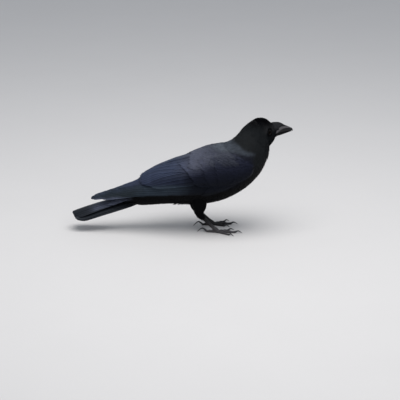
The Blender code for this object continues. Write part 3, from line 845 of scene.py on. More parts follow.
def eye_fringe(side, seed, number=30):
    """The ring of tiny vanes round one eye, pointing away from it and swept back."""
    centre, out, forward, up = eye_axes(side)
    turn = (np.arange(number) + 0.5) * 2 * math.pi / number
    ring = np.cos(turn)[:, None] * forward * 1.04 + np.sin(turn)[:, None] * up * 0.96
    sets = []
    for ring_number, (radius, long) in enumerate(((0.0048, 0.0024), (0.0060, 0.0030))):
        targets = centre + out * 0.0055 + ring * radius
        a, b = body_near(targets, 10.65, math.pi if side < 0 else 0.0)

        def sweep(points, along, around, normal):
            """Away from the eye's line of sight, and back."""
            away = points - centre
            away = away - (away @ out)[:, None] * out
            return away / length(away) - along / length(along) * 0.9

        rng = np.random.default_rng(seed + ring_number)
        lengths = long * rng.uniform(0.85, 1.15, len(a))
        track = comb(body, -1, a, b, sweep, lengths, 4)
        widths = 0.00062 * np.array((0.5, 0.9, 1.0, 0.75, 0.2)) * np.ones((len(a), 1))
        lifts = (0.0003 - 0.0006 * (1 - np.linspace(0, 1, 5))) * np.ones((len(a), 1))
        thin = np.full(len(a), 0.00008)
        sets.append(vanes(body, -1, *track, widths, lifts, thin, thin, skin_place, rng.uniform(0, 1, len(a))))
    return sets


head_roots = tiles(body, (LAST_SECTION - 0.1, HEAD_START - 0.6), BODY_TURN, body_gap)
head_sets = [body_vanes(head_roots, 3, 4.6, 0.62, 0.0002, "pointed", keep=head_kept)]
for eye_side, fringe_seed in ((-1, 40), (1, 50)):
    head_sets += eye_fringe(eye_side, fringe_seed)
coat("head_coat", head_sets, HEAD_FINISH)


# The bill. Two halves of black horn grow over the jaws and meet in a long cutting edge that drops at the
# corner of the mouth, the upper one with an arched ridge. The horn is finely lined along its length and worn
# at the tip.

UPPER_BILL = (  # in the head's axes: forward, ridge height, cutting edge height, half width
    (0.0160, 0.0117, -0.0100, 0.0115),
    (0.0280, 0.0117, -0.0090, 0.0103),
    (0.0380, 0.0106, -0.0082, 0.0088),
    (0.0480, 0.0071, -0.0080, 0.0071),
    (0.0570, 0.0032, -0.0083, 0.0055),
    (0.0660, -0.0008, -0.0090, 0.0039),
    (0.0720, -0.0038, -0.0097, 0.0026),
    (0.0753, -0.0060, -0.0106, 0.0014),
    (0.0766, -0.0094, -0.0115, 0.0006),
)
LOWER_BILL = (  # forward, keel height, cutting edge height, half width
    (0.0160, -0.0182, -0.0098, 0.0102),
    (0.0280, -0.0178, -0.0088, 0.0089),
    (0.0400, -0.0168, -0.0080, 0.0071),
    (0.0500, -0.0154, -0.0079, 0.0053),
    (0.0600, -0.0138, -0.0084, 0.0036),
    (0.0690, -0.0122, -0.0094, 0.0019),
    (0.0728, -0.0119, -0.0104, 0.0006),
)


def beak_form(table):
    """Half a bill: an arch over its cutting edges, from 0 at the right edge to 1 at the left one. At the
    angle pi share it is sin^0.8 of the way up and |cos|^0.84 of the way out."""

    def surface(row, share):
        """A point of the arch."""
        row, share = np.broadcast_arrays(np.asarray(row, float), np.asarray(share, float))
        forward, back, edge, wide = np.moveaxis(flow(table, row), -1, 0)
        arc = math.pi * share
        arch = np.abs(np.sin(arc)) ** 0.8
        side = -np.sign(np.cos(arc)) * np.abs(np.cos(arc)) ** 0.84 * wide
        return on_head(np.stack((forward, side, edge + (back - edge) * arch), -1))

    return surface


MOUTH_HOLLOW = 0.0011


def beak_piece(name, table, material, node):
    """The arch closed by a hollowed roof of the mouth, deepest in the middle as 1 - across^2."""
    rows, shares = np.linspace(0, len(table) - 1, 64), np.linspace(0, 1, 41)
    across = np.linspace(1, -1, 11)[1:-1]
    arch = beak_form(table)(rows[:, None], shares[None])
    forward, back, edge, wide = np.moveaxis(flow(table, rows), -1, 0)
    width = (wide / UPPER_BILL[0][3])[:, None]
    hollow = np.sign(back - edge)[:, None] * MOUTH_HOLLOW * (1 - across**2) * width
    roof = np.stack((forward[:, None] + 0 * hollow, across * wide[:, None], edge[:, None] + hollow), -1)
    turn = int(np.sign(edge[0] - back[0]))
    points, quads, fans = closed_rings(np.concatenate((arch, on_head(roof)), 1)[:, ::turn])
    ring = np.concatenate((shares, np.full(len(across), 0.5)))[::turn]
    along, around = np.repeat(rows / rows[-1], len(ring)), np.tile(ring, len(rows))
    form = np.stack((along, around, 0 * along), -1)
    form = np.vstack((form, (0, 0.5, 0), (1, 0.5, 0)))
    made = piece(name, points, quads, fans, material, None, {"form": form}, 40.0)
    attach(made, "root")
    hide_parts(node)
    return made


def horn_recipe(dye, black, grey):
    """Black horn: fine lines along it, a grey band of painted reflection that climbs from the mouth's corner,
    painted shade darkening the cutting edges, and wear at the tip."""
    mark = dye.mark("form", 1)
    along, around, _ = mark.parts()
    stretched = dye.node("ShaderNodeVectorMath", {"operation": "MULTIPLY"}, {0: mark, 1: (9.0, 70.0, 1.0)})
    lines = dye.clouds(1.0, 3.0, stretched)
    blotch = dye.clouds(160.0, 3.0)
    height = 1 - (around * 2 - 1).size()
    # Painted reflection: the grey band along the upper half's side stands for the sky seen in the horn.
    band = 1 - (height - (along * 0.90 + 0.02)).size().step(0.05, 0.18)
    band = band * (1 - along.step(0.50, 0.72) * 0.70)
    worn = along.step(0.86, 1.0) * blotch * 0.2
    # Painted shade: the horn darkens to a tenth at the cutting edges, along the mouth line.
    tone = (lines * 0.5 + blotch * 0.5 + 0.5) * (height.step(0.002, 0.020) * 0.9 + 0.1)
    base = (band + worn).mix(black, grey)
    return {
        "Base Color": tone.shade(base),
        "Roughness": blotch * 0.22 + 0.22 + worn * 0.10,
        "Normal": (lines * 0.7 + dye.clouds(1500.0) * 0.3).bumps(0.00022),
    }


def upper_horn_painted_band(dye):
    """The upper half's horn, with a plain grey band of painted reflection."""
    return horn_recipe(dye, colour(0.0080, 0.0080, 0.0085), colour(0.0960, 0.0900, 0.0930))


def lower_horn_painted_shade(dye):
    """The lower half's horn, nearly all black, darker than the upper half as painted shade."""
    return horn_recipe(dye, colour(0.0012, 0.0012, 0.0014), colour(0.0040, 0.0040, 0.0044))


beak_piece("bill_ridge", UPPER_BILL, finish("upper_horn_painted_band", upper_horn_painted_band, Specular_IOR_Level=0.16), "bill_upper")
beak_piece("bill_keel", LOWER_BILL, finish("lower_horn_painted_shade", lower_horn_painted_shade, Specular_IOR_Level=0.03), "bill_lower")


# The bristles. Stiff narrow feathers root round the bill and lie forward over it, covering the nostrils. They
# are longest halfway up each side, with shorter ones round the corner of the mouth and under the chin.


def bristle_place(row, share):
    """The bristles' own corner of the bake map: forward across, and around the bill upwards."""
    return np.stack((0.75 + 0.02 * row, 0.80 + 0.15 * share), -1)


def bristles(table, hand, seed, number, rows, shares, long, droop):
    """Narrow vanes rooted on half a bill and combed forward along it, drawn towards the cutting edge."""
    rng = np.random.default_rng(seed)
    a, b = rng.uniform(*rows, number), rng.uniform(*shares, number)
    surface = beak_form(table)
    middle = 1 - np.abs(2 * b - 1)
    lengths = np.interp(middle, *long) * rng.uniform(0.8, 1.15, number)

    def forward(points, along, around, out):
        """Along the bill, and down on either side by the droop."""
        return along / length(along) + droop * np.sign(b - 0.5)[:, None] * around / length(around)

    track = comb(surface, hand, a, b, forward, lengths, 4)
    widths = 0.00062 * np.array((0.8, 1.0, 0.90, 0.62, 0.12)) * rng.uniform(0.8, 1.2, (number, 1))
    rise = rng.uniform(0.0004, 0.0016, (number, 1))
    lifts = rise * np.array((-0.6, 0.6, 1.0, 0.90, 0.45))
    thin = np.full(number, 0.00012)
    return vanes(surface, hand, *track, widths, lifts, thin, thin, bristle_place, rng.uniform(0, 1, number))


NOSTRIL_LENGTHS = (  # shares of the way from the cutting edge to the ridge, then lengths there
    (0, 0.26, 0.42, 0.6, 0.9, 1),
    (0.004, 0.005, 0.012, 0.020, 0.023, 0.017),
)
GAPE_LENGTHS = ((0, 0.2, 1), (0.004, 0.006, 0.006))
CHIN_LENGTHS = ((0, 1), (0.004, 0.006))
coat("bill_bristles", [
    bristles(UPPER_BILL, 1, 60, 1000, (-0.30, 0.95), (0.08, 0.92), NOSTRIL_LENGTHS, 0.03),
    bristles(UPPER_BILL, 1, 61, 120, (-0.10, 0.35), (0.02, 0.10), GAPE_LENGTHS, 0.0),
    bristles(UPPER_BILL, 1, 62, 120, (-0.10, 0.35), (0.90, 0.98), GAPE_LENGTHS, 0.0),
    bristles(LOWER_BILL, -1, 63, 300, (0.10, 0.70), (0.03, 0.97), CHIN_LENGTHS, 0.0),
], HEAD_FINISH)


# The eyes. Each is a wet dark-brown globe with a black pupil, set in its socket in the head. Two thin lids of
# bare skin hold it and close round its front.


def globe_recipe(dye):
    """A black pupil in a dark brown iris with fine rays, and a black rim, by the angle from the eye's
    axis."""
    angle = dye.mark("angle")
    rays = dye.clouds(1400.0, 2.0)
    iris = (rays * 0.8 + 0.2).mix(colour(0.0012, 0.0008, 0.0006), colour(0.0036, 0.0020, 0.0012))
    ring = angle.step(0.26, 0.30).mix(colour(0.0012, 0.0011, 0.0011), iris)
    return {
        "Base Color": angle.step(0.52, 0.60).mix(ring, colour(0.0022, 0.0018, 0.0016)),
        "Roughness": rays * 0.02 + 0.05,
        "Normal": dye.clouds(300.0).bumps(0.00001),
    }


def lid_recipe(dye):
    """Bare black lid skin, creased in rings and slightly damp."""
    crease = dye.clouds(1600.0, 3.0)
    return {
        "Base Color": (crease * 0.6 + 0.6).shade(colour(0.0016, 0.0015, 0.0016)),
        "Roughness": crease * 0.25 + 0.35,
        "Normal": crease.bumps(0.00025),
    }


GLOBE_FINISH = finish("wet_iris", globe_recipe, Specular_IOR_Level=0.018)
LID_FINISH = finish("lid_skin", lid_recipe, Specular_IOR_Level=0.08)
LID_THICK, LID_SPAN = 0.00032, 0.30  # half its thickness, and half its spread in radians


def eye_point(side, angle, turn, radius):
    """A point seen from an eye's centre: this angle off its axis, turned round it from the front, so far
    out."""
    centre, out, forward, up = eye_axes(side)
    aside = np.cos(turn)[..., None] * forward + np.sin(turn)[..., None] * up
    return centre + radius[..., None] * (np.cos(angle)[..., None] * out + np.sin(angle)[..., None] * aside)


def build_eye(name, side):
    """Globe: a sphere whose clear front swells over the iris as exp(-angle^2). Lids: one closed ring, lower
    above than below, with fine folds."""
    turn = (np.arange(40) * 2 * math.pi / 40)[None] * -side
    angle = np.linspace(0.02, math.pi - 0.05, 34)[:, None]
    swell = EYE_RADIUS * (1 + 0.045 * np.exp(-((angle / 0.42) ** 2)))
    rings = eye_point(side, angle + 0 * turn, turn + 0 * angle, swell + 0 * turn)
    points, quads, fans = closed_rings(rings)
    off_axis = np.concatenate((np.repeat(angle[:, 0], turn.size), (0.0, math.pi)))
    globe = piece("eye_globe_" + name, points, quads, fans, GLOBE_FINISH, None, {"angle": off_axis}, 60.0)
    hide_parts("eye_" + name)
    turn = np.linspace(0, 2 * math.pi, 65)[:-1, None]
    tube = (np.arange(28) * 2 * math.pi / 28)[None]
    opening = 0.68 - 0.08 * np.sin(turn) ** 2 - 0.05 * np.clip(np.sin(turn), 0, 1) + 0.05 * np.cos(turn) ** 4
    lid_angle = opening + LID_SPAN * (1 - np.cos(tube))
    folds = 0.10 * np.cos(6 * tube) * np.clip(np.sin(tube), 0, 1)
    lid_radius = EYE_RADIUS * 1.012 + LID_THICK * (np.sin(tube) + folds)
    points = eye_point(side, lid_angle, turn + 0 * tube, lid_radius)
    number = np.arange(lid_angle.size).reshape(lid_angle.shape)
    ahead, above = np.roll(number, -1, 0), np.roll(number, -1, 1)
    quads = np.stack((number, above, np.roll(ahead, -1, 1), ahead), -1).reshape(-1, 4)
    lids = piece("eyelids_" + name, points.reshape(-1, 3), quads[:, ::side], None, LID_FINISH)
    for made in (globe, lids):
        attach(made, "root")


for eye_name, eye_side in SIDES.items():
    build_eye(eye_name, eye_side)


# The wings are folded. Each is roofed by rows of coverts, small at the shoulder and longer behind, over a
# stack of secondaries rooted in the arm. Below them the primaries run from the hand to the wing's point, and
# every feather's edge lies over the next.

WING_SHINE = {"Specular_IOR_Level": 0.12, "Specular_Tint": colour(0.72, 0.80, 1.0)}
WING_FINISH = finish("wing_coverts", coat_recipe(0.46, 0.55, 0.0012, 0.60), **WING_SHINE)
QUILL_FINISH = finish("wing_quills", coat_recipe(0.44, 0.90, 0.0012, 0.74), **WING_SHINE)
QUILL_SHAPES = {  # shares along a feather, then its half width there
    "covert": ((0, 0.2, 0.4, 0.6, 0.76, 0.88, 0.96, 1), (0.4, 0.75, 0.95, 1, 0.93, 0.72, 0.42, 0.14)),
    "flap": ((0, 0.12, 0.26, 0.4, 0.54, 0.68, 0.8, 0.89, 0.95, 0.985, 1),
             (0.4, 0.7, 0.88, 0.97, 1, 0.98, 0.9, 0.74, 0.52, 0.28, 0.08)),
    "long": ((0, 0.1, 0.22, 0.34, 0.46, 0.58, 0.7, 0.8, 0.88, 0.94, 0.98, 1),
             (0.4, 0.7, 0.9, 1, 1, 0.98, 0.95, 0.91, 0.85, 0.76, 0.58, 0.22)),
}
UNEVEN = (-1.0, -0.55, 0.0, 0.30, 0.55)  # columns of a flight feather, narrower on its leading side
EVEN = (-1.0, -0.5, 0.0, 0.5, 1.0)
QUILL_THICK = 0.0003


def panel_place(left, low, rows):
    """The unwrap of one panel: front to tip across, and upper to lower edge."""
    return lambda row, share: np.stack((left + 0.9 * row / rows, low + 0.4 * share), -1)


def quills(
    surface, hand, root, tip, wide, lift, place, seed, shape, columns, sag=0.0, limit=(0.0, 1.0), tilt=0.0
):
    """Feathers from a root to a tip given as row and share, sagging between them as sag sin(pi share), lifted
    from one height at the root to another at the tip as share^0.7, and tilted."""
    root, tip, lift = (np.atleast_2d(np.asarray(table, float)) for table in (root, tip, lift))
    shares, outline = (np.array(values, float) for values in QUILL_SHAPES[shape])
    a = root[:, :1] + (tip - root)[:, :1] * shares
    b = root[:, 1:] + (tip - root)[:, 1:] * shares + np.reshape(sag, (-1, 1)) * np.sin(math.pi * shares)
    count = len(a)
    wide = np.broadcast_to(wide, (count,))
    lifts = lift[:, :1] + (lift[:, 1:] - lift[:, :1]) * shares**0.7
    tone = np.random.default_rng(seed).uniform(0, 1, count)
    widths, thick = wide[:, None] * outline, np.full(count, QUILL_THICK)
    return vanes(surface, hand, a, b, widths, lifts, thick, wide * 0.03, place, tone, columns, limit, tilt)


def graded(first, last, count):
    """Rows of values that change evenly from the first to the last."""
    first, last = np.asarray(first, float), np.asarray(last, float)
    return first + (last - first) * np.linspace(0, 1, count)[:, None]


def panel_row(panel, x):
    """A panel's row number at a distance forward, read off along the middle line of the panel."""
    middle = (panel[:, 0] + panel[:, 3]) / 2
    return np.interp(-np.asarray(x, float), -middle, np.arange(len(middle)))


def on_panel(panel, x, share):
    """Feather ends given as distances forward and shares, as rows and shares of the panel."""
    return np.stack((panel_row(panel, x), share), 1)


SECONDARIES = np.array((  # tip forward, share across at tip and root, sag, half width, lift of the tip
    (-0.060, 0.99, 0.93, 0.00, 0.0085, -0.0026),
    (-0.068, 0.94, 0.80, -0.02, 0.0095, -0.0021),
    (-0.077, 0.91, 0.64, -0.06, 0.0120, -0.0014),
    (-0.082, 0.88, 0.54, -0.10, 0.0122, -0.0009),
    (-0.086, 0.86, 0.44, -0.15, 0.0122, -0.0003),
    (-0.089, 0.72, 0.38, -0.11, 0.0122, 0.0000),
    (-0.090, 0.58, 0.31, -0.07, 0.0120, 0.0003),
    (-0.089, 0.44, 0.24, -0.04, 0.0120, 0.0006),
))
PRIMARIES = np.array((  # tip forward, share across the hand at tip and root, half width, lowest first
    (-0.128, 0.93, 0.96, 0.0080),
    (-0.170, 0.84, 0.88, 0.0085),
    (-0.190, 0.66, 0.78, 0.0090),
    (-0.1945, 0.50, 0.67, 0.0095),
    (-0.188, 0.34, 0.55, 0.0098),
    (-0.176, 0.22, 0.43, 0.0100),
    (-0.163, 0.14, 0.32, 0.0100),
    (-0.150, 0.08, 0.22, 0.0100),
    (-0.136, 0.04, 0.12, 0.0100),
))
ARM_COVERTS = (  # number, seed, half width, sag, then at its lowest and topmost feather: root, tip, lifts
    (13, 101, 0.0066, 0.015, ((0.082, 0.97), (0.030, 0.98), (-0.0030, 0.0002)),
     ((0.060, 0.10), (-0.010, 0.14), (-0.0026, 0.0020))),
    (15, 102, 0.0060, 0.01, ((0.098, 0.97), (0.054, 0.98), (-0.0026, 0.0009)),
     ((0.082, 0.06), (0.030, 0.08), (-0.0022, 0.0018))),
    (16, 107, 0.0054, 0.01, ((0.108, 0.97), (0.076, 0.98), (-0.0022, 0.0010)),
     ((0.100, 0.04), (0.060, 0.06), (-0.0018, 0.0016))),
)
HAND_COVERTS = (  # the primaries' coverts and the thumb's feathers, written the same way
    (9, 105, 0.0056, 0.0, ((0.110, 0.95), (0.040, 0.97), (-0.0022, -0.0006)),
     ((0.100, 0.12), (0.056, 0.20), (-0.0022, 0.0004))),
    (3, 106, 0.0062, 0.0, ((0.116, 0.55), (0.066, 0.72), (-0.0010, 0.0006)),
     ((0.116, 0.05), (0.082, 0.25), (0.0, 0.0014))),
)


def covert_gap(points, row, share):
    """Spacing of the small coverts: 4 mm at the shoulder and 6.5 mm behind it."""
    return np.interp(row + 0 * share, (0, 4), (0.0040, 0.0065))


def soft_vanes(
    surface, hand, roots, rng, way, long, widths, lift, sunk, uneven, solid, place, power=1.6, **more
):
    """Short vanes combed from their roots, each row of them standing at lift - sunk (1 - share)^power and a
    little unevenly. Solid gives their thickness and bow."""
    track = comb(surface, hand, roots[:, 0], roots[:, 1], way, long, 4)
    lifts = lift - sunk * (1 - np.linspace(0, 1, 5)) ** power + rng.normal(0, uneven, (len(roots), 1))
    return vanes(surface, hand, *track, widths, lifts, *solid, place, rng.uniform(0, 1, len(roots)), **more)


def small_coverts(surface, hand, place, seed):
    """Small coverts in staggered rows from the shoulder back."""
    roots = tiles(surface, (0.1, 3.7), (0.02, 0.99), covert_gap)
    rng = np.random.default_rng(seed)
    gap = covert_gap(None, roots[:, 0], roots[:, 1])
    stray = rng.normal(0, 0.08, (len(gap), 1))

    def back(points, along, around, out):
        """Backwards and slightly down, a little astray to one side."""
        return along / length(along) + np.array((0.0, 0.0, -0.10)) + stray * around / length(around)

    long = gap * 3.6 * rng.uniform(0.9, 1.1, len(gap))
    widths = gap[:, None] * 0.78 * np.array((0.4, 0.88, 1.0, 0.76, 0.16))
    solid, limit = (0.03 * gap, 0.04 * gap), (-0.04, 1.04)
    return soft_vanes(
        surface, hand, roots, rng, back, long, widths, 0.0006, 0.0026, 0.00008, solid, place, limit=limit
    )


def cover_row(surface, hand, panel, place, count, seed, wide, sag, lowest, topmost):
    """One row of coverts: root, tip and lifts change evenly from its lowest feather to its topmost, and each
    feather is a little narrower than the one below."""
    roots, tips, lifts = (graded(*ends, count) for ends in zip(lowest, topmost))
    tips = tips + np.random.default_rng(seed).normal(0, 1, (count, 1)) * (0.0012, 0.004)
    rise = np.stack((lifts[:, 0], lifts[:, 1] + 0.0002 * (np.arange(count) % 2)), 1)
    wide = wide * (1 - 0.12 * np.linspace(0, 1, count))
    root, tip, limit = on_panel(panel, *roots.T), on_panel(panel, *tips.T), (-0.05, 1.08)
    return quills(surface, hand, root, tip, wide, rise, place, seed, "covert", EVEN, sag, limit, 0.0004)


def build_wing(name, side):
    """One wing's coats: the arm's flight feathers, the coverts over them, and the hand's primaries below."""
    short = LEFT_WING_SHORT if name == "left" else 0.0
    arm, hand = blade_form(ARM_PANEL, side, short), blade_form(HAND_PANEL, side, short)
    turn = -side
    upper, lower = panel_place(0.05, 0.52, 10), panel_place(0.05, 0.05, 9)
    rows = [cover_row(arm, turn, ARM_PANEL, upper, *row) for row in ARM_COVERTS]
    coat("wing_coverts_" + name, [*rows, small_coverts(arm, turn, upper, 103)], WING_FINISH)

    tip_x, tip_share, root_share, sag, wide, lift = SECONDARIES.T
    root = on_panel(ARM_PANEL, np.linspace(0.052, 0.040, len(tip_x)), root_share)
    tip, lifts = on_panel(ARM_PANEL, tip_x, tip_share), np.stack((lift - 0.0016, lift), 1)
    flaps = quills(arm, turn, root, tip, wide, lifts, upper, 100, "flap", UNEVEN, sag, (0.0, 1.2), 0.0008)
    coat("secondaries_" + name, [flaps], QUILL_FINISH, ("wing_arm_" + name,))

    tip_x, tip_share, root_share, wide = PRIMARIES.T
    rank = np.linspace(0, 1, len(tip_x))
    root, tip = on_panel(HAND_PANEL, 0.085 - 0.025 * rank, root_share), on_panel(HAND_PANEL, tip_x, tip_share)
    lifts = np.stack((-0.0030 + 0.0018 * rank, -0.0018 + 0.0030 * rank), 1)
    longs = quills(hand, turn, root, tip, wide, lifts, lower, 104, "long", UNEVEN, 0.02, (-0.35, 1.0), 0.0009)
    coat("primaries_" + name, [longs], QUILL_FINISH, ("wing_hand_" + name,))
    rows = [cover_row(hand, turn, HAND_PANEL, lower, *row) for row in HAND_COVERTS]
    coat("primary_coverts_" + name, rows, WING_FINISH)


for wing_name, wing_side in SIDES.items():
    build_wing(wing_name, wing_side)


# The mantle and tertials. A cape of feathers is rooted from the nape over both shoulders, grows broader
# backwards and ends over the tertials. Those are the wings' innermost long feathers, and close over the back
# like a roof.

MANTLE_SHINE = {"Specular_IOR_Level": 0.24, "Specular_Tint": colour(0.84, 0.90, 1.0)}
MANTLE_FINISH = finish("mantle_feathers", coat_recipe(0.48, 0.10, 0.0012), **MANTLE_SHINE)
BACK_FRONT, BACK_END = 0.118, -0.098  # distance forward of its two ends
BACK_LINE = np.array((  # the line over the backbone: forward, up
    (-0.1050, 0.1090), (-0.0930, 0.1150), (-0.0740, 0.1273), (-0.0570, 0.1378), (-0.0400, 0.1448),
    (-0.0220, 0.1540), (-0.0060, 0.1586), (0.0110, 0.1625), (0.0340, 0.1730), (0.0680, 0.1835),
    (0.0910, 0.1895), (0.1050, 0.1965), (0.1180, 0.2077), (0.1250, 0.2160),
))


def back_at(x):
    """How far along the back form a distance forward is."""
    return (BACK_FRONT - np.asarray(x, float)) / (BACK_FRONT - BACK_END)


def back_form(a, b):
    """From 0 at the nape to 1 behind, and across from -1 on the right wing to 1 on the left: a smooth curve
    through three points on each wing and one over the backbone."""
    a, b = np.broadcast_arrays(np.asarray(a, float), np.asarray(b, float))
    x = BACK_FRONT + (BACK_END - BACK_FRONT) * a
    row = panel_row(ARM_PANEL, x)
    held = []
    for side, shares in ((-1, (0.50, 0.25, 0.03)), (1, (0.03, 0.25, 0.50))):
        wing = blade_form(ARM_PANEL, side, LEFT_WING_SHORT if side > 0 else 0.0)
        held.append([wing(row, share) for share in shares])
    top = np.stack((x, 0 * x, np.interp(x, *BACK_LINE.T)), -1)
    points = np.stack((*held[0], top, *held[1]), -2)
    return (flow(np.eye(7), 3 + 3 * b)[..., None] * points).sum(-2)


def cape_gap(points, a, b):
    """Spacing: 4.4 mm at the nape to 8 mm behind, and tighter over the backbone."""
    return np.interp(a + 0 * b, (0, 0.42), (0.0044, 0.0080)) * (0.88 + 0.12 * np.abs(b))


def back_place(a, b):
    """The cape's bake map: nape to rump across, and right to left upwards."""
    return np.stack((0.05 + 0.9 * np.clip(a, 0, 1), 0.5 + 0.45 * b), -1)


def cape_back(points, along, around, out):
    """Backwards, fanning outwards towards the wings."""
    return along / length(along) + points * (0.0, 1.6, 0.0)


def cape(seed):
    """The cape's vanes, rooted between two curves across the back and lifted higher towards its rear edge."""
    roots = tiles(back_form, (-0.05, 0.40), (-0.86, 0.86), cape_gap)
    a, b = roots.T
    roots = roots[(a > 0.13 - 0.20 * np.abs(b)) & (a < 0.37 + 0.10 * np.abs(b))]
    rng = np.random.default_rng(seed)
    gap = cape_gap(None, roots[:, 0], roots[:, 1])
    long = gap * 3.6 * rng.uniform(0.90, 1.10, len(gap))
    widths = gap[:, None] * 0.94 * np.array((0.5, 0.95, 1.0, 0.78, 0.18))
    lift = 0.0014 + 0.0016 * np.clip(roots[:, :1] - 0.28, 0, 0.12) / 0.12
    solid = (0.03 * gap, 0.04 * gap)
    return soft_vanes(
        back_form, -1, roots, rng, cape_back, long, widths, lift, 0.0026, 0.0001, solid, back_place, 1.5,
        columns=EVEN,
    )


coat("mantle_coat", [cape(200)], MANTLE_FINISH)
TERTIAL_ROOT = 0.064  # forward
TERTIALS = np.array((  # tip forward, place across at tip and root, half width, lift of the tip
    (-0.0895, 0.74, 0.96, 0.0120, 0.0010),
    (-0.0890, 0.56, 0.74, 0.0115, 0.0013),
    (-0.0875, 0.38, 0.52, 0.0110, 0.0016),
    (-0.0845, 0.22, 0.32, 0.0105, 0.0019),
    (-0.0790, 0.08, 0.12, 0.0100, 0.0022),
))
RIGHT_OVER = 0.0003  # the right side's feathers lie this much above the left side's


def tertials(side):
    """One wing's tertials, reaching a little over the middle line where they meet the other wing's."""
    tip_x, tip_across, root_across, wide, lift = TERTIALS.T
    tip_x = tip_x + (LEFT_WING_SHORT * 0.7 if side > 0 else 0.0)
    root = np.stack((back_at(TERTIAL_ROOT + 0 * tip_x), side * root_across), 1)
    tip = np.stack((back_at(tip_x), side * tip_across), 1)
    lifts = np.stack((lift - 0.0024, lift + (RIGHT_OVER if side < 0 else 0.0)), 1)
    columns = np.sort(side * np.array(UNEVEN))
    limit = (-1.0, 0.20) if side < 0 else (-0.20, 1.0)
    seed, tilt = 210 + side, side * 0.0006
    return quills(back_form, -1, root, tip, wide, lifts, back_place, seed, "long", columns, 0.0, limit, tilt)


coat("tertials", [tertials(side) for side in SIDES.values()], QUILL_FINISH)


# The tail. Twelve quills rooted in the rump lie closed: a middle stack with the central pair on top, and two
# outer quills on each side that hang a little lower, with a dark gap above them. Soft coverts hide their
# roots above and below.

TAIL_SHINE = {"Specular_IOR_Level": 0.2, "Specular_Tint": colour(0.86, 0.93, 1.0)}
TAIL_FINISH = finish("tail_feathers", coat_recipe(0.46, 0.30, 0.0013, 0.72), **TAIL_SHINE)
TAIL_MIDDLE = np.array((  # crest x, z, half width, thickness, droop of the edges
    (-0.0900, 0.0800, 0.0140, 0.0060, 0.0060),
    (-0.1300, 0.0705, 0.0178, 0.0048, 0.0090),
    (-0.1700, 0.0600, 0.0207, 0.0038, 0.0115),
    (-0.2050, 0.0487, 0.0225, 0.0028, 0.0125),
    (-0.2230, 0.0424, 0.0210, 0.0022, 0.0125),
    (-0.2305, 0.0399, 0.0160, 0.0017, 0.0105),
    (-0.2335, 0.0388, 0.0075, 0.0013, 0.0050),
))
TAIL_SIDE = np.array((  # upper edge x, y, z, lower edge x, y, z, bulge
    (-0.0900, 0.0030, 0.0700, -0.0900, 0.0130, 0.0590, 0.0010),
    (-0.1150, 0.0050, 0.0640, -0.1150, 0.0160, 0.0513, 0.0012),
    (-0.1450, 0.0080, 0.0560, -0.1450, 0.0195, 0.0424, 0.0014),
    (-0.1750, 0.0110, 0.0470, -0.1750, 0.0225, 0.0338, 0.0014),
    (-0.2000, 0.0145, 0.0380, -0.2000, 0.0240, 0.0258, 0.0012),
    (-0.2130, 0.0170, 0.0335, -0.2130, 0.0238, 0.0240, 0.0008),
    (-0.2290, 0.0190, 0.0330, -0.2290, 0.0222, 0.0275, 0.0003),
))


def tail_form(row, share):
    """The middle stack's upper face: row number, and -1 at its right edge to 1 at its left."""
    row, share = np.broadcast_arrays(np.asarray(row, float), np.asarray(share, float))
    x, z, wide, thick, droop = np.moveaxis(flow(TAIL_MIDDLE, row), -1, 0)
    return np.stack((x, share * wide, z + thick / 2 - droop * share**2), -1)


def tail_place(row, share):
    """The tail's bake map: root to tip across, and right to left upwards."""
    return np.stack((0.05 + 0.9 * np.clip(row / 6, 0, 1), 0.5 + 0.45 * share), -1)


TAIL_PAIRS = (  # row reached by the tip, share of its shaft across, half width, lift
    (4.6, 0.86, 0.0080, -0.0022),
    (5.1, 0.64, 0.0095, -0.0016),
    (5.6, 0.38, 0.0105, -0.0009),
    (6.0, 0.12, 0.0110, -0.0002),
)
tail_sets = []
for number, (reach, across, wide, lift) in enumerate(TAIL_PAIRS):
    for side in SIDES.values():
        root, tip = (0.2, side * across * 0.6), (reach, side * across)
        lifts = (lift - 0.001, lift + (RIGHT_OVER if side < 0 else 0.0))
        seed, limit, tilt = 300 + number, (-1.0, 1.0), side * 0.0005
        tail_sets.append(
            quills(tail_form, -1, root, tip, wide, lifts, tail_place, seed, "long", EVEN, 0.0, limit, tilt)
        )
coat("tail_quills", tail_sets, TAIL_FINISH, ("tail_middle",))

OUTER_ROOTS = ((0.3, 0.80), (0.3, 0.42))  # row and share of the lower and the upper outer quill
OUTER_TIPS = ((5.75, 0.74), (5.95, 0.42))
OUTER_WIDTHS = (0.0082, 0.0080)
OUTER_LIFTS = ((-0.0010, -0.0010), (-0.0006, 0.0))  # at root and tip
for side_name, side in SIDES.items():
    hung = quills(
        blade_form(TAIL_SIDE, side), -side, OUTER_ROOTS, OUTER_TIPS, OUTER_WIDTHS, OUTER_LIFTS,
        panel_place(0.05, 0.3, 6), 310, "long", UNEVEN, tilt=0.0006,
    )
    coat("outer_tail_quills_" + side_name, [hung], TAIL_FINISH, ("tail_side_" + side_name,))

VENT = np.array((  # the soft underside behind the legs: forward, up, half width, rise of the edges
    (-0.0500, 0.0548, 0.0300, 0.0140),
    (-0.0800, 0.0545, 0.0240, 0.0120),
    (-0.1050, 0.0545, 0.0170, 0.0075),
    (-0.1300, 0.0535, 0.0130, 0.0030),
    (-0.1600, 0.0500, 0.0110, 0.0015),
    (-0.1900, 0.0440, 0.0100, 0.0010),
))


def vent_form(row, share):
    """The underside from the vent to half way down the tail: row number, and share from right to left."""
    row, share = np.broadcast_arrays(np.asarray(row, float), np.asarray(share, float))
    x, z, wide, rise = np.moveaxis(flow(VENT, row), -1, 0)
    return np.stack((x, share * wide, z + rise * share**2), -1)


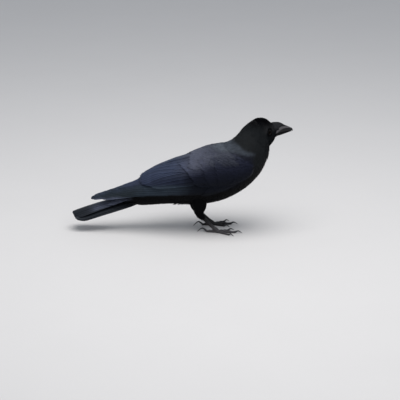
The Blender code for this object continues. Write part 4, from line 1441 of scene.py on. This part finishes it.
def covering(surface, hand, spans, gap, long, lift, seed):
    """Soft tail coverts in staggered rows, pointing straight back."""
    roots = tiles(surface, *spans, lambda points, a, b: gap + 0 * a * b)
    rng = np.random.default_rng(seed)
    size = rng.uniform(0.88, 1.12, len(roots))
    stray = rng.normal(0, 0.06, (len(roots), 1))

    def back(points, along, around, out):
        """Backwards, a little astray to one side."""
        return along / length(along) + stray * around / length(around)

    widths = gap * 0.78 * np.array((0.4, 0.90, 0.95, 0.62, 0.12)) * size[:, None]
    solid = (0.03 * np.full(len(roots), gap), 0.04 * np.full(len(roots), gap))
    long, limit = gap * long * size, (-1.0, 1.0)
    return soft_vanes(
        surface, hand, roots, rng, back, long, widths, lift, 0.0022, 0.0001, solid, tail_place, limit=limit
    )


RUMP = np.array((  # over the rump between the folded wings: forward, up, half width
    (-0.0600, 0.1340, 0.0030),
    (-0.0760, 0.1245, 0.0050),
    (-0.0900, 0.1150, 0.0080),
    (-0.1060, 0.1033, 0.0115),
    (-0.1250, 0.0925, 0.0125),
    (-0.1450, 0.0865, 0.0125),
    (-0.1650, 0.0815, 0.0110),
))
RUMP_DROP = 0.0035  # of its edges below its middle


def rump_form(row, share):
    """A low arch over the slot between the two wings: row number, and -1 at the right to 1 at the left."""
    row, share = np.broadcast_arrays(np.asarray(row, float), np.asarray(share, float))
    x, z, wide = np.moveaxis(flow(RUMP, row), -1, 0)
    return np.stack((x, share * wide, z - RUMP_DROP * share**2), -1)


coat("tail_coverts", [
    covering(rump_form, -1, ((0.3, 4.6), (-0.92, 0.92)), 0.0056, 4.8, 0.0002, 322),
    covering(tail_form, -1, ((-0.2, 1.15), (-0.94, 0.94)), 0.0052, 4.6, 0.0008, 320),
    covering(vent_form, 1, ((0.1, 2.9), (-0.96, 0.96)), 0.0048, 4.4, 0.0004, 321),
], NECK_FINISH)


# The thighs. Soft black feathers rooted in the skin of each thigh hang down as a trouser, and end in a ragged
# hem over the top of the bare shank.

THIGH_FINISH = finish("thigh_feathers", coat_recipe(0.66, 0.05), Specular_IOR_Level=0.06)


def thigh_gap(points, row, angle):
    """Spacing: 3.8 mm at the top to 2 mm at the hem."""
    return np.interp(row + 0 * angle, (0, 5), (0.0038, 0.0020))


def trouser(name, side, seed):
    """One thigh's feathers, combed down and slightly back."""
    thigh = limb_form(THIGH, name)
    roots = tiles(thigh, (0.1, 4.8), (-math.pi, math.pi), thigh_gap)
    rng = np.random.default_rng(seed)
    gap = thigh_gap(None, roots[:, 0], roots[:, 1])
    left = 0.26 if side < 0 else 0.76

    def down(points, along, around, out):
        """Down the thigh, drawn back a little."""
        return along / length(along) + np.array((-0.12, 0.0, 0.0))

    def place(row, angle):
        """The thigh's place on the skin's bake map: down it across, and around it upwards."""
        return np.stack((left + 0.2 * np.clip(row / 5, 0, 1), 0.76 + 0.1 * (angle / (2 * math.pi) % 1.0)), -1)

    long = gap * 3.1 * rng.uniform(0.85, 1.15, len(gap))
    widths = gap[:, None] * 0.72 * np.array((0.4, 0.9, 0.95, 0.60, 0.14))
    solid = (0.04 * gap, 0.1 * gap)
    return soft_vanes(thigh, -side, roots, rng, down, long, widths, 0.0002, 0.0028, 0.0002, solid, place)


coat("thigh_coat", [trouser("right", -1, 400), trouser("left", 1, 401)], THIGH_FINISH)


# The feet. The shank is bare, with a row of broad plates down its front and a smooth back, and four toes with
# plates above and pads below stand flat on the ground. The claws are curved black horn.

SHANK = (  # forward of the foot, up, radius
    (-0.0395, 0.0425, 0.0045),
    (-0.0330, 0.0360, 0.0042),
    (-0.0220, 0.0250, 0.0037),
    (-0.0085, 0.0120, 0.0038),
    (-0.0016, 0.0058, 0.0047),
    (0.0006, 0.0030, 0.0050),
    (0.0012, 0.0003, 0.0040),
)
TOES = {  # heading in degrees, length without the claw, root radius, claw length, arch as a share of it
    "middle": (3.0, 0.0375, 0.0035, 0.0145, 0.20),
    "inner": (33.0, 0.0258, 0.0031, 0.0125, 0.20),
    "outer": (-29.0, 0.0305, 0.0031, 0.0120, 0.20),
    "hind": (180.0, 0.0205, 0.0036, 0.0200, 0.32),
}
TOE_START, TOE_FLAT, TOE_TAPER, KNUCKLES, KNUCKLE_SWELL = 0.0020, 0.0005, 0.34, 3, 0.09
CLAW_ROOT, CLAW_TIP, CLAW_SUNK = 0.85, 0.0005, 0.0012  # share of the toe's radius, then tip width and overlap
SCALE_CREASE = 38.0  # degrees past which an edge stays sharp
PLATE_STEPS = np.array((0.0, 0.30, 0.62, 0.88, 0.97))  # ring places along one plate


def scale_recipe(dye):
    """Grey-black plates: paler at each raised edge as painted highlight, darker in the folds as painted
    shade, finely crazed, and dusty near the ground, with the left foot's pale kept low as painted shade."""
    plate, place = dye.mark("plate"), dye.place()
    _, left, up = place.parts()
    settings = {"feature": "DISTANCE_TO_EDGE"}
    cells = dye.node("ShaderNodeTexVoronoi", settings, {"Vector": place, "Scale": 1100.0})
    dust = dye.clouds(240.0, 3.0)
    # Painted highlight and shade: each plate is paler at its raised edge and darker in its folds.
    edge = plate.step(0.55, 0.90) * (1 - plate.step(0.93, 1.0))
    tone = (edge * 0.55 + 0.62) * (dust * 0.7 + 0.65)
    # Pale near the ground, kept to a quarter on the left foot as painted shade.
    low = (1 - up.step(0.004, 0.026)) * (1 - left.step(-0.004, 0.004) * 0.75)
    skin = low.mix(colour(0.0068, 0.0060, 0.0066), colour(0.0780, 0.0720, 0.0760))
    return {
        "Base Color": (tone + cells.step(0.0, 0.16) * 0.12).shade(skin),
        "Roughness": dust * 0.25 + 0.38,
        "Normal": (cells.step(0.0, 0.12) * 0.6 + dust * 0.4).bumps(0.00022),
    }


def claw_recipe(dye):
    """Black horn, streaked along and scuffed at the point."""
    scuff = dye.clouds(420.0, 3.0)
    return {
        "Base Color": (scuff * 0.9 + 0.4).shade(colour(0.014, 0.014, 0.015)),
        "Roughness": scuff * 0.25 + 0.22,
        "Normal": scuff.bumps(0.00015),
    }


SCALE_FINISH = finish("scaled_leg", scale_recipe, Specular_IOR_Level=0.25)
CLAW_FINISH = finish("black_claw", claw_recipe, Specular_IOR_Level=0.55)


def plated(count):
    """Places of the rings along a row of plates, 0 to 1, and how far through its plate each ring is."""
    share = ((np.arange(count)[:, None] + PLATE_STEPS) / count).ravel()
    through = np.tile(PLATE_STEPS, count)
    return np.append(share, 1.0)[:, None], np.append(through, 0.0)[:, None]


def shank_rings(name):
    """The shank's rings, its front raised into overlapping plates and its back into a fine ridge."""
    share, through = plated(13)
    angle = (np.arange(24) + 0.5)[None] * 2 * math.pi / 24
    read = flow(SHANK, share[:, 0] * (len(SHANK) - 1))
    front = np.clip(np.sin(angle) * 1.6, 0, 1)
    back = np.clip(-np.sin(angle), 0, 1)
    swell = front * through * 0.00035 - front * 0.00010 + back**6 * 0.0003
    rings = limb_form(read, name)(np.arange(len(read))[:, None] + 0 * angle, angle)
    foot_x, foot_y, _ = LEGS[name]
    inward = SIDES[name] * SPLAY * read[:, 1]
    middle = np.stack((foot_x + read[:, 0], foot_y - inward, read[:, 1]), -1)
    away = rings - middle[:, None]
    rings = rings + away / length(away) * swell[..., None]
    rings[..., 2] = np.maximum(rings[..., 2], 0.0)
    plate = np.broadcast_to(through * (front > 0.3), swell.shape)
    return rings[:, :: SIDES[name]], plate[:, :: SIDES[name]]


def toe_rings(foot, bearing, long, root):
    """One toe's rings, plated above, with swollen joints and a pressed flat underside."""
    share, through = plated(int(long / 0.0023))
    angle = (np.arange(18) + 0.5)[None] * 2 * math.pi / 18
    way = np.array((math.cos(bearing), math.sin(bearing), 0.0))
    aside = np.array((-way[1], way[0], 0.0))
    radius = root * (1 - TOE_TAPER * share) * (1 + KNUCKLE_SWELL * np.cos(share * KNUCKLES * 2 * math.pi))
    above = np.clip(np.sin(angle) * 1.5, 0, 1)
    grown = radius + above * (through * 0.00026 - 0.0001)
    points = np.array((*foot, 0.0)) + (TOE_START + long * share)[..., None] * way
    points = points + (grown * np.cos(angle))[..., None] * aside
    points[..., 2] = np.maximum(radius - TOE_FLAT + grown * np.sin(angle), 0.0)
    end = np.array((*foot, 0.0)) + (TOE_START + long) * way + (0, 0, radius[-1, 0] - TOE_FLAT)
    return points, np.broadcast_to(through * (above > 0.2), points.shape[:2]), end, way, radius[-1, 0]


def claw_rings(end, way, radius, long, rise):
    """A claw leaves its toe level, arches over and comes down to the ground in a point."""
    bend = np.linspace(0, 1, 22)[:, None]
    angle = (np.arange(12) + 0.5)[None] * 2 * math.pi / 12
    hook = end + long * bend * way
    hook[:, 2] = (end[2] * (1 - bend**2) + CLAW_TIP * bend**2)[:, 0]
    hook[:, 2] += rise * long * np.sin(math.pi * bend[:, 0] ** 0.9) ** 1.5
    slope = np.gradient(hook, axis=0)
    slope = slope / length(slope)
    aside = np.array((-way[1], way[0], 0.0))
    up = np.cross(slope, aside)
    thick = CLAW_TIP * 0.5 + (radius * CLAW_ROOT - CLAW_TIP * 0.5) * (1 - bend) ** 0.8
    across = 0.78 + 0.22 * (1 - bend)
    rings = hook[:, None] + (thick * across * np.cos(angle))[..., None] * aside
    rings = rings + (thick * np.sin(angle))[..., None] * up[:, None]
    rings[..., 2] = np.maximum(rings[..., 2], 0.0)
    return rings


def joined(sets):
    """Several closed lofts as one set of points, quads and fans."""
    lofts = [closed_rings(rings) for rings in sets]
    starts = np.cumsum([0] + [len(points) for points, _, _ in lofts])
    quads = np.concatenate([quads + start for (_, quads, _), start in zip(lofts, starts)])
    fans = np.concatenate([fans + start for (_, _, fans), start in zip(lofts, starts)])
    return np.concatenate([points for points, _, _ in lofts]), quads, fans


def with_ends(values):
    """Plate values of a loft's rings, with none at its two end points."""
    return np.concatenate((values.ravel(), (0.0, 0.0)))


def build_foot(name, side):
    """One shank, four toes and four claws, each claw starting a little way inside its toe."""
    *foot, turn = LEGS[name]
    rings, plate = shank_rings(name)
    marks = {"plate": with_ends(plate)}
    shank = piece("shank_scales_" + name, *closed_rings(rings), SCALE_FINISH, None, marks, SCALE_CREASE)
    toes, plates, claws = [], [], []
    for heading, long, root, claw, rise in TOES.values():
        rings, plate, end, way, radius = toe_rings(foot, math.radians(turn - side * heading), long, root)
        toes.append(rings)
        plates.append(with_ends(plate))
        claws.append(claw_rings(end - way * CLAW_SUNK, way, radius, claw + CLAW_SUNK, rise))
    marks = {"plate": np.concatenate(plates)}
    toe_piece = piece("toe_scales_" + name, *joined(toes), SCALE_FINISH, None, marks, SCALE_CREASE)
    claw_piece = piece("claw_horn_" + name, *joined(claws), CLAW_FINISH)
    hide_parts("shank_" + name)
    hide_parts(*(f"toe_{toe}_{name}" for toe in TOES))
    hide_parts(*(f"claw_{toe}_{name}" for toe in TOES))
    for made in (shank, toe_piece, claw_piece):
        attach(made, "root")


for foot_name, foot_side in SIDES.items():
    build_foot(foot_name, foot_side)


# The floor, light and camera. The bird stands on a plain pale floor under one broad soft light, and the
# camera looks at its right side from a little above.


def floor_recipe(dye):
    """Pale matt board with the faintest mottling."""
    tone = dye.clouds(6.0, 4.0) * 0.03 + 0.985
    grain = dye.clouds(220.0, 3.0)
    return {
        "Base Color": tone.shade(colour(0.62, 0.60, 0.585)),
        "Roughness": grain * 0.1 + 0.75,
        "Normal": grain.bumps(0.0002),
    }


FLOOR_HALF = 6.0
corners = np.array([(x, y, 0.0) for x, y in ((-1, -1), (1, -1), (1, 1), (-1, 1))]) * FLOOR_HALF
floor = piece("floor", corners, np.array([[0, 1, 2, 3]]), None, finish("pale_board", floor_recipe))

world = bpy.data.worlds.new("studio")
world.use_nodes = True
world.node_tree.nodes["Background"].inputs[0].default_value = colour(0.80, 0.86, 0.95)
world.node_tree.nodes["Background"].inputs[1].default_value = 0.55
bpy.context.scene.world = world
bpy.context.scene.view_settings.view_transform = "Standard"

for title, place, width, power in (
    ("sky_light", (0.10, -0.30, 1.90), 1.8, 34.0),
    ("fill_light", (0.70, -1.80, 1.20), 1.2, 5.0),
):
    lamp = bpy.data.lights.new(title, "AREA")
    lamp.shape, lamp.size, lamp.energy = "DISK", width, power
    holder = bpy.data.objects.new(title, lamp)
    holder.location = place
    holder.rotation_euler = (Vector((0.0, 0.0, 0.1)) - Vector(place)).to_track_quat("-Z", "Y").to_euler()
    bpy.context.scene.collection.objects.link(holder)

AIM = Vector((0.0368, 0.0, 0.0636))
DISTANCE, ELEVATION, FIELD = 4.5, math.radians(17.5), 0.851  # field is the width seen at the aim
lens = bpy.data.cameras.new("camera")
lens.lens = lens.sensor_width * DISTANCE / FIELD
lens.clip_start, lens.clip_end = 0.05, 50.0
camera = bpy.data.objects.new("camera", lens)
camera.location = AIM + DISTANCE * Vector((0.0, -math.cos(ELEVATION), math.sin(ELEVATION)))
camera.rotation_euler = (AIM - camera.location).to_track_quat("-Z", "Y").to_euler()
bpy.context.scene.collection.objects.link(camera)
bpy.context.scene.camera = camera
